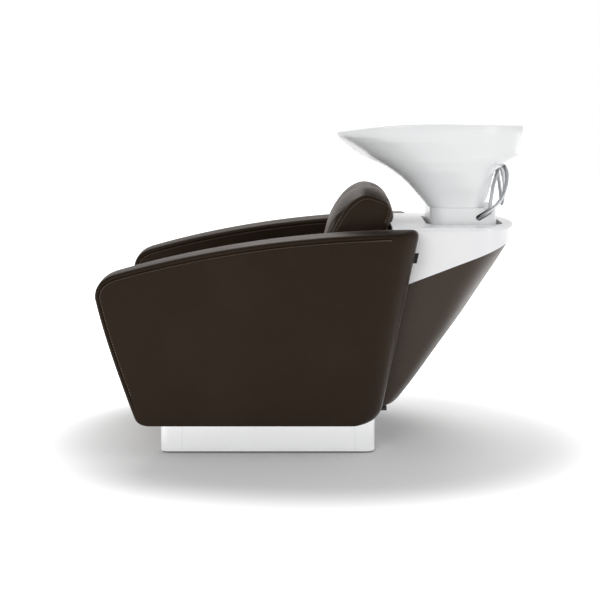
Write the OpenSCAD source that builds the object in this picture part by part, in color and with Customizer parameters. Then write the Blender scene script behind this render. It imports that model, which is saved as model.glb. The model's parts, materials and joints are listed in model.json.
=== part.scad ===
// Salon wash unit: an upholstered chair between two slab arms, with a console behind it that carries
// a tilting ceramic basin. X runs from the sitter's feet to the back of the basin, Y runs across and
// Z is up, with the floor at Z = 0. The sitter's left arm is on the -Y side.

/* [Overall] */
// Width over the two arms
unit_w = 700; // [680:5:740]
// Gap left between padded or painted faces that only touch
seat_gap = 0.3; // [0.2:0.05:0.4]
// Radial clearance of a turning pin in its bush
run_gap = 0.05; // [0.02:0.01:0.09]

/* [Plinth] */
// Length of the plinth
plinth_len = 643; // [625:1:655]
// Width of the plinth
plinth_w = 560; // [520:5:600]
// Gap between the waste pipe's hole and the plinth's rear skirt
skirt_clear = 2.6; // [2:0.2:5]
// Height of the plinth's steel skirt
plinth_h = 94; // [88:1:100]
// Radius of the plinth's upright corners
plinth_r = 25; // [15:1:35]
// Thickness of the skirt's steel sheet
plinth_sheet = 2; // [1:0.5:3]
// Length of the skirt's front cap
front_cap_len = 67; // [50:1:90]
// Length of the skirt's rear cap
rear_cap_len = 59; // [50:1:90]
// Thickness of the steel plate in the plinth's top
top_plate_t = 6; // [5:1:8]
// Height of the floor glides
glide_h = 6; // [4:1:9]
// Radius of the floor glides
glide_r = 20; // [15:1:25]
// Radius of the plinth's feet
foot_r = 15; // [10:1:18]

/* [Arms] */
// Thickness of an arm
arm_t = 100; // [90:1:110]
// Reach of the arms ahead of the origin
arm_front = 650; // [630:1:670]
// Height of the arm's most forward point
knee_z = 485; // [470:1:500]
// Height at which the arm's front rounds over into its top
brow_z = 555; // [545:1:565]
// Height of the arm's top at the rear
arm_top = 675; // [665:1:690]
// Reach of the arm's rear top corner behind the origin
arm_rear = 296; // [290:1:300]
// Rake of the arm's rear edge, in degrees
rake = 11.75; // [10.5:0.25:12.5]
// Where the arm's bottom edge starts, ahead of the origin
sole_front = 495; // [480:1:510]
// Where the arm's bottom edge ends, behind the origin
sole_rear = 118; // [105:1:125]
// Depth of the rounded nose on the arm's rear edge
nose_depth = 80; // [60:1:90]
// Radius of the arm's padded edges
pad_edge_r = 12; // [8:1:15]
// Rise of the arm's top at the middle of its thickness
arm_crown = 10; // [4:1:14]
// Thickness of the board inside an arm
core_t = 18; // [15:1:21]
// Padding between the arm's inner face and its board
core_in = 12; // [8:1:16]

/* [Seat] */
// Thickness of the chair's boards and rails
board_t = 18; // [15:1:21]
// Height of the side rails
rail_h = 182; // [170:1:195]
// Thickness of the seat deck
deck_t = 15; // [12:1:18]
// Thickness of the padded front panel
panel_t = 30; // [25:1:35]
// Height of the seat cushion at its seams
cushion_h = 112; // [95:1:125]
// Rise of the seat cushion's crown
cushion_crown = 20; // [10:1:28]
// Reach of the seat cushion ahead of the origin
cushion_front = 600; // [585:1:612]
// Where the seat cushion ends, ahead of the origin
cushion_rear = 68; // [66:1:80]
// Thickness of the back board
back_board_t = 15; // [12:1:18]
// Height of the back board's top edge
back_board_top = 655; // [640:1:656]
// Height of the neck roll's crown
roll_top = 800; // [794:1:808]
// How far the roll's side seams lie below its crown
roll_crown = 22; // [10:1:26]
// Length of the sewn tag
tag_len = 12; // [8:1:16]
// Height of the sewn tag
tag_h = 30; // [20:1:36]
// Thickness of the sewn tag
tag_t = 1.2; // [0.8:0.2:2]
// Height of the sewn tag's middle above the floor
tag_z = 591; // [560:1:610]

/* [Column] */
// Thickness of the column's base plate
base_plate_t = 10; // [8:1:12]
// Length of the column's base plate
base_plate_len = 110; // [104:1:120]
// Width of the column's base plate
base_plate_w = 340; // [330:5:360]
// Depth of the column's tube, front to back
post_d = 60; // [50:1:64]
// Width of the column's tube
post_w = 108; // [100:1:109]
// Wall of the column's tube
post_wall = 4; // [3:0.5:6]
// Height of the column's top end
post_top = 500; // [490:1:505]
// Thickness of a fork plate
fork_t = 8; // [6:1:10]
// Distance of the tilt pivot behind the origin
pivot_x = 430; // [427:1:433]
// Height of the tilt pivot
pivot_z = 610; // [606:1:614]
// Radius of the round ends of the fork plates and of the bracket's ears
lug_r = 28; // [25:1:30]
// Radius of the pivot bolts
pivot_r = 8; // [7:0.5:9]
// Wall of the tilt bushes
bush_wall = 4; // [3:0.5:5]
// Thickness of the tilt bushes' flanges
bush_flange = 1.8; // [1.2:0.2:2.4]
// Thickness of the bracket's plate and ears
bracket_t = 8; // [6:1:9]
// Length of the bracket's plate, front to back
bracket_len = 120; // [116:1:126]
// Width of the bracket's plate
bracket_w = 250; // [242:2:260]
// Distance of the hot valve from the line of those bolts, inwards
valve_clear = 25; // [24:0.5:28]
// Distance between the two stop valves
valve_pitch = 40; // [38:1:44]
// Distance of the waste pipe from the column's side
waste_clear = 46; // [44:1:50]
// Radius of the bolts that hold the column down
anchor_r = 6; // [5:0.5:7]
// Radius of the bolts that hold the arms
arm_bolt_r = 4; // [3:0.5:5]
// Radius of the bolts that hold the basin
basin_bolt_r = 5; // [4:0.5:6]

/* [Console] */
// Height of the console's deck
deck_z = 675; // [672:1:680]
// Where the console's straight sides end
console_bend = 472; // [465:1:480]
// Where the console ends, behind the origin
console_rear = 610; // [602:1:620]
// Wall of the console's shell
console_wall = 6; // [5:0.5:8]
// Thickness of the console's deck
console_deck_t = 8; // [6:0.5:9]
// Radius of the console's top edge
console_edge_r = 10; // [6:1:14]
// Height of the console's sloping bottom, at the arm's rear edge
slope_z = 504; // [500:1:508]
// Slope of the console's bottom, in degrees
slope = 20.9; // [19:0.1:22]
// Thickness of the flange round the console's open bottom
flange_t = 5; // [4:0.5:7]
// Width of that flange all round
flange_w = 44.7; // [38:0.5:52]
// Wall of the keel's padded shell
keel_wall = 12; // [10:1:14]
// Side gap between the keel and the arms
keel_side_gap = 4; // [3:0.5:6]
// Height of the keel's lowest edge
keel_z = 135; // [132:1:140]
// Gap between the back board and the console or the keel
lap_gap = 1; // [0.5:0.5:2]
// Radius of the screws that hold the keel
keel_screw_r = 2.5; // [2:0.25:3]

/* [Pillar] */
// Where the pillar's front face stands, behind the origin
pillar_front = 340; // [338:1:342]
// Length of the pillar, front to back
pillar_len = 206; // [200:1:210]
// Width of the pillar
pillar_w = 300; // [294:2:306]
// Radius of the pillar's upright corners
pillar_r = 50; // [40:1:56]
// Wall of the pillar's shell
pillar_wall = 6; // [5:0.5:7]
// Thickness of the pillar's top
pillar_top_t = 8; // [6:0.5:9]
// Height of the pillar's lower edge
pillar_low = 630; // [628:1:640]
// Gap between the pillar and the console's deck at the front and sides
slot_gap = 11; // [10:0.5:13]
// Gap between the pillar and the console's deck at the rear
slot_rear_gap = 20; // [17:0.5:24]
// Radius of the ends of the hose slot
hose_slot_r = 9; // [8.5:0.5:10]
// Length between the centres of the hose slot's ends
hose_slot_len = 36; // [30:1:38]

/* [Basin] */
// Where the basin's front lip starts, behind the origin
basin_front = 38; // [34:1:42]
// Length of the basin
basin_len = 600; // [592:1:606]
// Width of the basin
basin_w = 500; // [480:2:520]
// Height of the basin's foot
foot_z = 725; // [723:1:728]
// Height of the basin from its foot to the highest point of the rim
basin_h = 260; // [250:1:268]
// How far the rim falls from its middle to the front lip
lip_drop = 28; // [20:1:34]
// How far the rim falls from its middle to the rear
rear_drop = 7; // [3:1:12]
// Depth of the neck rest in the front lip
neck_drop = 46; // [36:1:50]
// How far the neck rest is set back into the front lip
neck_set = 68; // [60:1:74]
// Half the width of the neck rest
neck_half = 70; // [60:1:80]
// Width of the rolled rim
rim_w = 26; // [22:1:30]
// Height of the rear ledge above the foot
ledge_h = 167; // [162:1:172]
// Height of the bowl's bottom above the foot
bowl_h = 43; // [40:1:47]
// Thickness of the rear ledge
ledge_t = 12; // [10:1:14]
// Depth of the recess in the basin's foot
foot_recess = 25; // [22:1:28]
// Radius of the recess in the basin's foot
foot_recess_r = 45; // [40:1:50]

/* [Drain] */
// Outer radius of the drain's tail pipe
tail_r = 20; // [18:0.5:22]
// Wall of the drain's tail pipe
tail_wall = 3; // [2:0.5:4]
// Height of the tail pipe's lower end
tail_z = 695; // [690:1:698]
// Radius of the drain's flange
drain_flange_r = 32; // [28:1:36]
// Thickness of the drain's flange
drain_flange_t = 3; // [2:0.5:4]
// Radius of the drain hose
drain_hose_r = 18; // [15:0.5:19]
// Radius of the trap's bottle
trap_r = 32; // [28:1:35]
// Height of the trap's bottle
trap_h = 70; // [60:1:76]
// Height of the trap's bottom
trap_z = 190; // [186:1:196]
// Radius of the waste pipe
waste_r = 16; // [13:0.5:16.5]
// Height of the pipes' open ends above the floor
pipe_z = 15; // [10:1:25]
// Length of a pipe's plain end, up to its collar
spigot_len = 50; // [40:1:54]
// Height of that collar
collar_h = 12; // [8:1:14]

/* [Water] */
// Radius of the braided hoses
hose_r = 6; // [5:0.25:6.25]
// Distance of the mixer and shower holes behind the origin
ledge_x = 562; // [558:1:566]
// Sideways place of the mixer, towards the sitter's left
mixer_y = 66; // [64:0.5:68]
// Sideways place of the shower, towards the sitter's right
shower_y = 48; // [44:1:52]
// Radius of the mixer's base
mixer_r = 27; // [24:1:30]
// Height of the mixer's base
mixer_h = 34; // [28:1:38]
// Radius of the mixer's threaded shank
shank_r = 17; // [16:0.25:18]
// Length of the shank below the ledge's top
shank_len = 26; // [24:1:30]
// Height of the mixer's cap
cap_h = 18; // [14:1:22]
// Length of the mixer's lever
lever_len = 66; // [50:1:76]
// Width of the mixer's lever
lever_w = 18; // [14:1:20]
// Radius of the lever's pin
lever_pin_r = 3; // [2.5:0.25:3.5]
// Bore radius of the shower's guide
guide_bore_r = 9.5; // [9.3:0.1:10]
// Outer radius of the shower's guide
guide_r = 13; // [12:0.5:14]
// Height of the hand shower above the ledge
shower_h = 70; // [60:1:74]
// Radius of the hand shower's head
shower_r = 20; // [17:0.5:23]
// Radius of the hand shower's spigot
spigot_r = 9; // [8:0.25:9.1]
// Radius of the stop valves' pipes
supply_r = 7.5; // [6:0.25:8]
// Wall of the stop valves' pipes
supply_wall = 1.5; // [1:0.25:2]
// Radius of the stop valves' bodies
valve_r = 12; // [11:0.5:14]
// Height of the stop valves' bodies
valve_h = 50; // [42:1:54]
// Length of the stop valves' handles
handle_len = 26; // [20:1:28]

/* [Hidden] */
$fn = 48;

leather = [0.24, 0.18, 0.15];
ceramic = [0.94, 0.95, 0.95];
polished = [0.80, 0.81, 0.83];
dark_steel = [0.30, 0.31, 0.33];
plywood = [0.72, 0.58, 0.40];
rubber = [0.10, 0.10, 0.11];
white_plastic = [0.88, 0.88, 0.86];
brass = [0.78, 0.63, 0.32];

// Overlap that carries a cut cleanly past a face
cut = 5;
plinth_top = glide_h + plinth_h;
arm_z = plinth_top + seat_gap;
inner_half = unit_w / 2 - arm_t;
base_z = plinth_top + board_t;
deck_low = base_z + rail_h;
seat_z = deck_low + deck_t;
plinth_inner_w = plinth_w - 2 * plinth_sheet;

// Points on a quadratic curve from a to c that leans towards b, without its last point
function bend(a, b, c, n) =
    [for (i = [0:n - 1]) let (t = i / n) (1 - t) ^ 2 * a + 2 * t * (1 - t) * b + t ^ 2 * c];
// A full smoothstep between two values
function blend(a, b, t) = a + (b - a) * t;
// Place of the arm's rear edge at a height
function rear_at(z) = arm_rear - (arm_top - z) * tan(rake);
// Place of the back board's front face at a height, parallel to the arm's rear edge
back_setback = 94;
function board_at(z) = rear_at(z) - back_setback;
// Place of the console's and the keel's open front at a height
function lap_at(z) = board_at(z) + back_board_t + lap_gap;
// Places of the column's front and of the pipes that rise through the plinth
column_x = board_at(plinth_top) + back_board_t + 12;
pipe_x = column_x + 35;
// Outward normal at a point of a closed outline that runs anticlockwise
function outward(p, i) =
    let (n = len(p), d = p[(i + 1) % n] - p[(i + n - 1) % n]) [d[1], -d[0]] / norm(d);
// Middle of a ring of points
function middle(r) = [for (k = [0:2]) (max([for (q = r) q[k]]) + min([for (q = r) q[k]])) / 2];

// A closed solid through rings of points, with a fan of triangles on each end
module loft(rings, flip = false) {
    m = len(rings);
    n = len(rings[0]);
    points = concat([for (r = rings, q = r) q], [middle(rings[0]), middle(rings[m - 1])]);
    walls = [for (j = [0:m - 2], i = [0:n - 1])
        let (a = j * n + i, b = j * n + (i + 1) % n, c = b + n, d = a + n)
        each [[a, b, c], [a, c, d]]];
    ends = [for (i = [0:n - 1]) let (k = (i + 1) % n)
        each [[m * n, k, i], [m * n + 1, (m - 1) * n + i, (m - 1) * n + k]]];
    faces = concat(walls, ends);
    polyhedron(points, flip ? [for (f = faces) [f[2], f[1], f[0]]] : faces);
}

// Rounded rectangle as a flat shape with true arcs
module round_rect(l, w, r) {
    square([l - 2 * r, w], center = true);
    square([l, w - 2 * r], center = true);
    for (x = [-1, 1], y = [-1, 1])
        translate([x * (l / 2 - r), y * (w / 2 - r)]) circle(r);
}

// Points of a rounded rectangle, anticlockwise seen from above
corner_steps = 6;
function round_ring(l, w, r) = [for (k = [0:3], i = [0:corner_steps])
    let (a = 90 * (k + i / corner_steps), sx = (k == 0 || k == 3) ? 1 : -1, sy = k < 2 ? 1 : -1)
    [sx * (l / 2 - r) + r * cos(a), sy * (w / 2 - r) + r * sin(a)]];

// Extrudes a flat X-Z outline across Y, between two Y places
module across(y0, y1) {
    translate([0, y1, 0]) rotate([90, 0, 0]) linear_extrude(y1 - y0) children();
}

// A cylinder along Y between two Y places
module rod_y(x, z, y0, y1, r) {
    translate([x, y1, z]) rotate([90, 0, 0]) cylinder(h = y1 - y0, r = r);
}

// A hexagon across the flats, as a nut or a bolt head
module hex(across_flats, h) {
    cylinder(h = h, r = across_flats / 2 / cos(30), $fn = 6);
}

// Plinth

plinth_rear = pipe_x + waste_r + seat_gap + plinth_sheet + skirt_clear;
plinth_mid = plinth_rear - plinth_len / 2;
foot_xs = [plinth_mid - plinth_len / 2 + 60, plinth_mid, plinth_mid + plinth_len / 2 - 60];
foot_y = plinth_w / 2 - 50;

module at_feet() {
    for (x = foot_xs, s = [-1, 1]) translate([x, s * foot_y, 0]) children();
}

module floor_glides() color(rubber) {
    at_feet() cylinder(h = glide_h, r = glide_r);
}

module plinth_feet() color(dark_steel) {
    at_feet() translate([0, 0, glide_h]) cylinder(h = plinth_h - top_plate_t, r = foot_r);
}

module skirt_ring() {
    translate([plinth_mid, 0, glide_h]) linear_extrude(plinth_h) difference() {
        round_rect(plinth_len, plinth_w, plinth_r);
        round_rect(plinth_len - 2 * plinth_sheet, plinth_inner_w, plinth_r - plinth_sheet);
    }
}

// The part of the skirt between two X places, less half a seam at each end
module skirt_part(x0, x1) {
    intersection() {
        skirt_ring();
        translate([x0 + seat_gap / 2, -plinth_w, 0]) cube([x1 - x0 - seat_gap, 2 * plinth_w, plinth_top]);
    }
}

front_seam = plinth_rear - plinth_len + front_cap_len;
rear_seam = plinth_rear - rear_cap_len;

module plinth_front_cap() color(polished) skirt_part(plinth_rear - plinth_len - cut, front_seam);

module plinth_rear_cap() color(polished) skirt_part(rear_seam, plinth_rear + cut);

module plinth_side(s) {
    translate([front_seam + seat_gap / 2, s > 0 ? plinth_w / 2 - plinth_sheet : -plinth_w / 2, glide_h])
        cube([rear_seam - front_seam - seat_gap, plinth_sheet, plinth_h]);
}

module plinth_left_panel() color(polished) plinth_side(-1);

module plinth_right_panel() color(polished) plinth_side(1);

module plinth_top_plate() color(dark_steel) difference() {
    translate([plinth_mid, 0, plinth_top - top_plate_t]) linear_extrude(top_plate_t)
        round_rect(plinth_len - 2 * plinth_sheet, plinth_inner_w, plinth_r - plinth_sheet);
    service_holes(plinth_top - top_plate_t - cut, top_plate_t + 2 * cut);
}

// Column

post_x = column_x + post_d / 2;
base_plate_x = column_x - 14;
anchor_y = base_plate_w / 2 - 15;
anchor_xs = [base_plate_x + 14, base_plate_x + 54];
post_low = plinth_top + base_plate_t;
fork_out = post_w / 2 + fork_t;
ear_in = fork_out + bush_flange + 0.2;
ear_out = ear_in + bracket_t;
bush_r = pivot_r + run_gap + bush_wall;

// Places across of the pipes that rise through the plinth
hot_y = valve_clear - anchor_y;
cold_y = hot_y + valve_pitch;
waste_y = post_w / 2 + waste_clear;

module service_holes(z, h) {
    translate([0, 0, z]) {
        for (x = anchor_xs, s = [-1, 1]) translate([x, s * anchor_y, 0]) cylinder(h = h, r = anchor_r);
        for (y = [hot_y, cold_y]) translate([pipe_x, y, 0]) cylinder(h = h, r = supply_r + seat_gap);
        translate([pipe_x, waste_y, 0]) cylinder(h = h, r = waste_r + seat_gap);
    }
}

module column_base_plate() color(dark_steel) difference() {
    translate([base_plate_x, -base_plate_w / 2, plinth_top])
        cube([base_plate_len, base_plate_w, base_plate_t]);
    service_holes(plinth_top - cut, base_plate_t + 2 * cut);
}

module column_bolts() color(polished) {
    for (x = anchor_xs, s = [-1, 1]) translate([x, s * anchor_y, 0]) {
        translate([0, 0, post_low]) hex(3 * anchor_r, anchor_r);
        translate([0, 0, plinth_top - top_plate_t - anchor_r])
            cylinder(h = anchor_r + top_plate_t + base_plate_t, r = anchor_r);
        translate([0, 0, plinth_top - top_plate_t - anchor_r]) hex(3 * anchor_r, anchor_r);
    }
}

function post_at(z) = column_x + (z - plinth_top) * tan(rake);

// Side outline of the raked tube, drawn in by a wall
function post_outline(w) = [[post_at(post_low) + w, post_low], [post_at(post_low) + post_d - w, post_low],
    [post_at(post_top) + post_d - w, post_top], [post_at(post_top) + w, post_top]];

module support_column() color(dark_steel) difference() {
    across(-post_w / 2, post_w / 2) polygon(post_outline(0));
    across(-post_w / 2 + post_wall, post_w / 2 - post_wall) polygon(
        [for (q = post_outline(post_wall)) [q[0] + (q[1] > post_low ? 1 : -1) * cut * tan(rake),
            q[1] + (q[1] > post_low ? 1 : -1) * cut]]);
}

fork_low = post_top - 100;

module fork_plate(s) {
    y0 = s > 0 ? post_w / 2 : -fork_out;
    difference() {
        union() {
            across(y0, y0 + fork_t) polygon([[post_at(fork_low) + 2, fork_low],
                [post_at(fork_low) + post_d + 4, fork_low],
                [pivot_x + 0.57 * lug_r, pivot_z - 0.82 * lug_r],
                [pivot_x - 0.5 * lug_r, pivot_z + 0.86 * lug_r],
                [post_at(post_top) + 2, post_top]]);
            rod_y(pivot_x, pivot_z, y0, y0 + fork_t, lug_r);
        }
        rod_y(pivot_x, pivot_z, y0 - cut, y0 + fork_t + cut, bush_r);
    }
}

module left_fork_plate() color(dark_steel) fork_plate(-1);

module right_fork_plate() color(dark_steel) fork_plate(1);

module mirror_pair() {
    children();
    mirror([0, 1, 0]) children();
}

module tilt_bushes() color(brass) mirror_pair() difference() {
    union() {
        rod_y(pivot_x, pivot_z, post_w / 2, fork_out + bush_flange, bush_r);
        rod_y(pivot_x, pivot_z, fork_out, fork_out + bush_flange, bush_r + 6);
    }
    rod_y(pivot_x, pivot_z, post_w / 2 - cut, fork_out + bush_flange + cut, pivot_r + run_gap);
}

bolt_head_t = 8;

module pivot_bolts() color(polished) mirror_pair() {
    rod_y(pivot_x, pivot_z, post_w / 2 - seat_gap - bolt_head_t, ear_out + 14, pivot_r);
    translate([pivot_x, post_w / 2 - seat_gap, pivot_z]) rotate([90, 0, 0]) hex(24, bolt_head_t);
}

module pivot_nuts() color(polished) mirror_pair() difference() {
    translate([pivot_x, ear_out + 12, pivot_z]) rotate([90, 0, 0]) hex(24, 12);
    rod_y(pivot_x, pivot_z, ear_out - cut, ear_out + 12 + cut, pivot_r);
}

bracket_z = foot_z - pillar_top_t - bracket_t;
clamp_x = bracket_len / 2 - 15;
clamp_y = bracket_w / 2 - 20;

module at_clamps() {
    for (sx = [-1, 1], sy = [-1, 1]) translate([pivot_x + sx * clamp_x, sy * clamp_y, 0]) children();
}

module basin_bracket() color(dark_steel) difference() {
    union() {
        translate([pivot_x - bracket_len / 2, -bracket_w / 2, bracket_z])
            cube([bracket_len, bracket_w, bracket_t]);
        mirror_pair() {
            translate([pivot_x - lug_r, ear_in, pivot_z])
                cube([2 * lug_r, bracket_t, bracket_z - pivot_z]);
            rod_y(pivot_x, pivot_z, ear_in, ear_out, lug_r);
        }
    }
    rod_y(pivot_x, pivot_z, -ear_out - cut, ear_out + cut, pivot_r);
    translate([pivot_x, 0, bracket_z - cut]) cylinder(h = bracket_t + 2 * cut, r = drain_flange_r);
    at_clamps() translate([0, 0, bracket_z - cut]) cylinder(h = bracket_t + 2 * cut, r = basin_bolt_r);
}

clamp_depth = 20;

module basin_bolts() color(polished) at_clamps() {
    translate([0, 0, bracket_z - basin_bolt_r - 1]) hex(16, basin_bolt_r + 1);
    translate([0, 0, bracket_z - 1]) cylinder(h = foot_z + clamp_depth - bracket_z + 1, r = basin_bolt_r);
}

// Chair

sole_bend = 60;
toe_rise = 27;

// Side outline of an arm, anticlockwise seen from the left, as X-Z points
function arm_outline() = let (
        toe = [-sole_front - 46, arm_z + toe_rise],
        heel = [rear_at(arm_z + sole_bend), arm_z + sole_bend],
        shoulder = [rear_at(arm_top - 25), arm_top - 25],
        crest = [arm_rear - 28, arm_top],
        brow = [56 - arm_front, brow_z],
        knee = [-arm_front, knee_z])
    concat(
        bend([-sole_front, arm_z], [(sole_rear - sole_front) / 2, arm_z], [sole_rear, arm_z], 2),
        bend([sole_rear, arm_z], [sole_rear + sole_bend, arm_z], heel, 6),
        bend(heel, (heel + shoulder) / 2, shoulder, 3),
        bend(shoulder, [rear_at(arm_top), arm_top], crest, 5),
        bend(crest, [465 - arm_front, arm_top - 3], brow, 15),
        bend(brow, [-arm_front - 2, brow_z - 20], knee, 7),
        bend(knee, [28 - arm_front, (knee_z + arm_z) / 2 + 57], toe, 7),
        bend(toe, [-sole_front - 37, arm_z], [-sole_front, arm_z], 4));

// How far a padded edge is drawn in at a distance from the slab's face
function edge_in(d, r) = d < r ? r - sqrt(r ^ 2 - (r - d) ^ 2) : 0;

nose_reach = 200;
arm_steps = [-1, -0.98, -0.93, -0.84, -0.70, -0.52, -0.27, 0, 0.27, 0.52, 0.70, 0.84, 0.93, 0.98, 1];

// A point of the arm's outline at a place v in the slab's thickness, from -1 to 1
function arm_point(p, i, v) = let (
        q = p[i] - outward(p, i) * edge_in((1 - abs(v)) * arm_t / 2, pad_edge_r),
        nose = nose_depth * (1 - sqrt(1 - min(1, v ^ 2))),
        behind = max(0, rear_at(q[1]) - q[0]),
        shift = nose * max(0, 1 - behind / nose_reach) ^ 2,
        sink = arm_crown * v ^ 2 * max(0, (q[1] - arm_z) / (arm_top - arm_z)))
    [q[0] - shift, q[1] - sink];

arm_mid = unit_w / 2 - arm_t / 2;
core_y = inner_half + core_in;

// Outline of the board in an arm, let out by a gap
function core_outline(g) = [[-430 - g, arm_z - (g > 0 ? cut : 0)], [90 + g, arm_z - (g > 0 ? cut : 0)],
    [rear_at(190) - 45 + g, 190], [rear_at(arm_top - 35) - 45 + g, arm_top - 35 + g],
    [150 - arm_front - g, knee_z + 15 + g]];

arm_bolt_xs = [-400, -190, 20];
arm_bolt_z = base_z + rail_h / 2 - 10;

module arm_bolt_holes(s, r) {
    for (x = arm_bolt_xs) rod_y(x, arm_bolt_z, s > 0 ? inner_half - board_t - cut : -core_y - core_t + 3,
        s > 0 ? core_y + core_t - 3 : -inner_half + board_t + cut, r);
}

module arm_pad(s) {
    outline = arm_outline();
    difference() {
        loft([for (v = arm_steps) [for (i = [0:len(outline) - 1])
            let (q = arm_point(outline, i, v)) [q[0], s * arm_mid + v * arm_t / 2, q[1]]]]);
        across(s > 0 ? core_y - seat_gap : -core_y - core_t - seat_gap,
            s > 0 ? core_y + core_t + seat_gap : -core_y + seat_gap) polygon(core_outline(seat_gap));
        arm_bolt_holes(s, arm_bolt_r + seat_gap);
        console_screw_holes(console_screw_r + seat_gap);
    }
}

module left_arm_pad() color(leather) arm_pad(-1);

module right_arm_pad() color(leather) arm_pad(1);

module arm_core(s) {
    difference() {
        across(s > 0 ? core_y : -core_y - core_t, s > 0 ? core_y + core_t : -core_y)
            polygon(core_outline(0));
        arm_bolt_holes(s, arm_bolt_r);
        console_screw_holes(console_screw_r);
    }
}

module left_arm_core() color(plywood) arm_core(-1);

module right_arm_core() color(plywood) arm_core(1);

module arm_bolts() color(polished) mirror_pair() for (x = arm_bolt_xs) {
    rod_y(x, arm_bolt_z, inner_half - board_t - seat_gap, core_y + core_t - 3, arm_bolt_r);
    translate([x, inner_half - board_t - seat_gap, arm_bolt_z]) rotate([90, 0, 0]) hex(13, 5);
}

module sewn_tag() color(rubber) {
    translate([rear_at(tag_z - tag_h / 2) - 1, -arm_mid - tag_t / 2, tag_z - tag_h / 2])
        multi_tag();
}

// The tag's foot follows the raked edge
module multi_tag() {
    across(0, tag_t) polygon([[seat_gap + 1, 0], [tag_len + 1, 0],
        [tag_len + 1 + tag_h * tan(rake), tag_h], [seat_gap + 1 + tag_h * tan(rake), tag_h]]);
}

rail_front = 470;
panel_rake = 20;

// Place of the chair's raked front frame at a height
function frame_front(z) = -rail_front - (z - base_z) * tan(panel_rake);

module seat_base_board() color(plywood) {
    translate([frame_front(base_z) - panel_t, -inner_half + seat_gap, plinth_top])
        cube([base_plate_x - seat_gap - frame_front(base_z) + panel_t,
            2 * (inner_half - seat_gap), board_t]);
}

module side_rail(s) {
    across(s > 0 ? inner_half - seat_gap - board_t : -inner_half + seat_gap,
        s > 0 ? inner_half - seat_gap : -inner_half + seat_gap + board_t)
        polygon([[frame_front(base_z), base_z], [board_at(base_z), base_z],
            [board_at(deck_low), deck_low], [frame_front(deck_low), deck_low]]);
}

module left_side_rail() color(plywood) difference() {
    side_rail(-1);
    arm_bolt_holes(-1, arm_bolt_r);
}

module right_side_rail() color(plywood) difference() {
    side_rail(1);
    arm_bolt_holes(1, arm_bolt_r);
}

module cross_rail(x) {
    translate([x, -inner_half + seat_gap + board_t, base_z])
        cube([board_t, 2 * (inner_half - seat_gap - board_t), rail_h]);
}

module front_rail() color(plywood) cross_rail(frame_front(base_z) + board_t);

module rear_rail() color(plywood) cross_rail(board_at(base_z) - 2 * board_t);

module seat_deck() color(plywood) across(-inner_half + seat_gap, inner_half - seat_gap)
    polygon([[frame_front(deck_low), deck_low], [board_at(deck_low), deck_low],
        [board_at(seat_z), seat_z], [frame_front(seat_z), seat_z]]);

module front_panel() color(leather) across(-inner_half + seat_gap, inner_half - seat_gap)
    polygon([[frame_front(base_z) - panel_t, base_z], [frame_front(base_z), base_z],
        [frame_front(seat_z), seat_z], [frame_front(seat_z) - panel_t, seat_z]]);

seat_len = cushion_front - cushion_rear;
seat_w = 2 * (inner_half - seat_gap);
seat_r = 30;
// Rise of the side, from 0 to 1, beside how far it is drawn in
seat_sides = [[0, 14], [0.06, 5], [0.2, 1], [0.5, 0], [0.78, 2], [0.92, 7], [1, 16]];
// Share of the top's size beside its share of the crown
seat_tops = [[0.86, 0.42], [0.68, 0.75], [0.45, 0.94], [0.2, 1]];

module seat_cushion() color(leather) {
    low = seat_z + seat_gap;
    mid_x = -(cushion_front + cushion_rear) / 2;
    sides = [for (s = seat_sides) [for (q = round_ring(seat_len - 2 * s[1], seat_w - 2 * s[1], seat_r))
        [mid_x + q[0], q[1], low + s[0] * cushion_h]]];
    tops = [for (t = seat_tops) [for (q = round_ring(seat_len - 32, seat_w - 32, seat_r))
        [mid_x + t[0] * q[0], t[0] * q[1], low + cushion_h + t[1] * cushion_crown]]];
    loft(concat(sides, tops), flip = true);
}

module back_board() color(plywood) across(-inner_half + seat_gap, inner_half - seat_gap)
    polygon([[board_at(base_z), base_z], [board_at(base_z) + back_board_t, base_z],
        [board_at(back_board_top) + back_board_t, back_board_top],
        [board_at(back_board_top), back_board_top]]);

// Side outline of the back cushion and its neck roll at mid width, anticlockwise seen from the left
function back_outline() = let (
        low = seat_z + seat_gap,
        nape = [board_at(deck_z - 19) - seat_gap, deck_z - 19],
        heel = [board_at(low + 10) - seat_gap, low + 10],
        rear = [225, roll_top - 74],
        crest = [142, roll_top],
        chin = [50, roll_top - 81],
        chest = [24, deck_z - 13],
        lap = [-38, seat_z + 105])
    concat(
        bend([-42, low], [30, low], [heel[0] - 8, low], 3),
        bend([heel[0] - 8, low], [heel[0] - 2, low], heel, 2),
        bend(heel, (heel + nape) / 2, nape, 5),
        bend(nape, [218, roll_top - 110], rear, 4),
        bend(rear, [231, roll_top - 18], crest, 7),
        bend(crest, [92, roll_top - 10], chin, 7),
        bend(chin, [32, roll_top - 110], chest, 3),
        bend(chest, (chest + lap) / 2, lap, 4),
        bend(lap, [-66, low + 10], [-42, low], 4));

back_steps = [-1, -0.985, -0.95, -0.88, -0.76, -0.58, -0.34, 0, 0.34, 0.58, 0.76, 0.88, 0.95, 0.985, 1];
back_fade = 0.5;

// Draws the cushion's sides in, most of all along its top
function back_point(p, i, v) = let (
        n = outward(p, i),
        side = max(0, (abs(v) - back_fade) / (1 - back_fade)) ^ 2,
        d = edge_in((1 - abs(v)) * seat_w / 2, 7) + roll_crown * side * (0.12 + 0.88 * max(0, n[1])))
    p[i] - n * d;

module back_cushion() color(leather) {
    outline = back_outline();
    loft([for (v = back_steps) [for (i = [0:len(outline) - 1])
        let (q = back_point(outline, i, v)) [q[0], v * seat_w / 2, q[1]]]]);
}

// Console and keel

console_half = inner_half - seat_gap;
mouth_half = console_half - flange_w;

// Outline of the console from above, drawn in at its sides and rear
function console_outline(d, front) = concat([[front, -console_half + d]],
    [for (a = [-90:7.5:90]) [console_bend + (console_rear - console_bend - d) * cos(a),
        (console_half - d) * sin(a)]],
    [[front, console_half - d]]);

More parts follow.
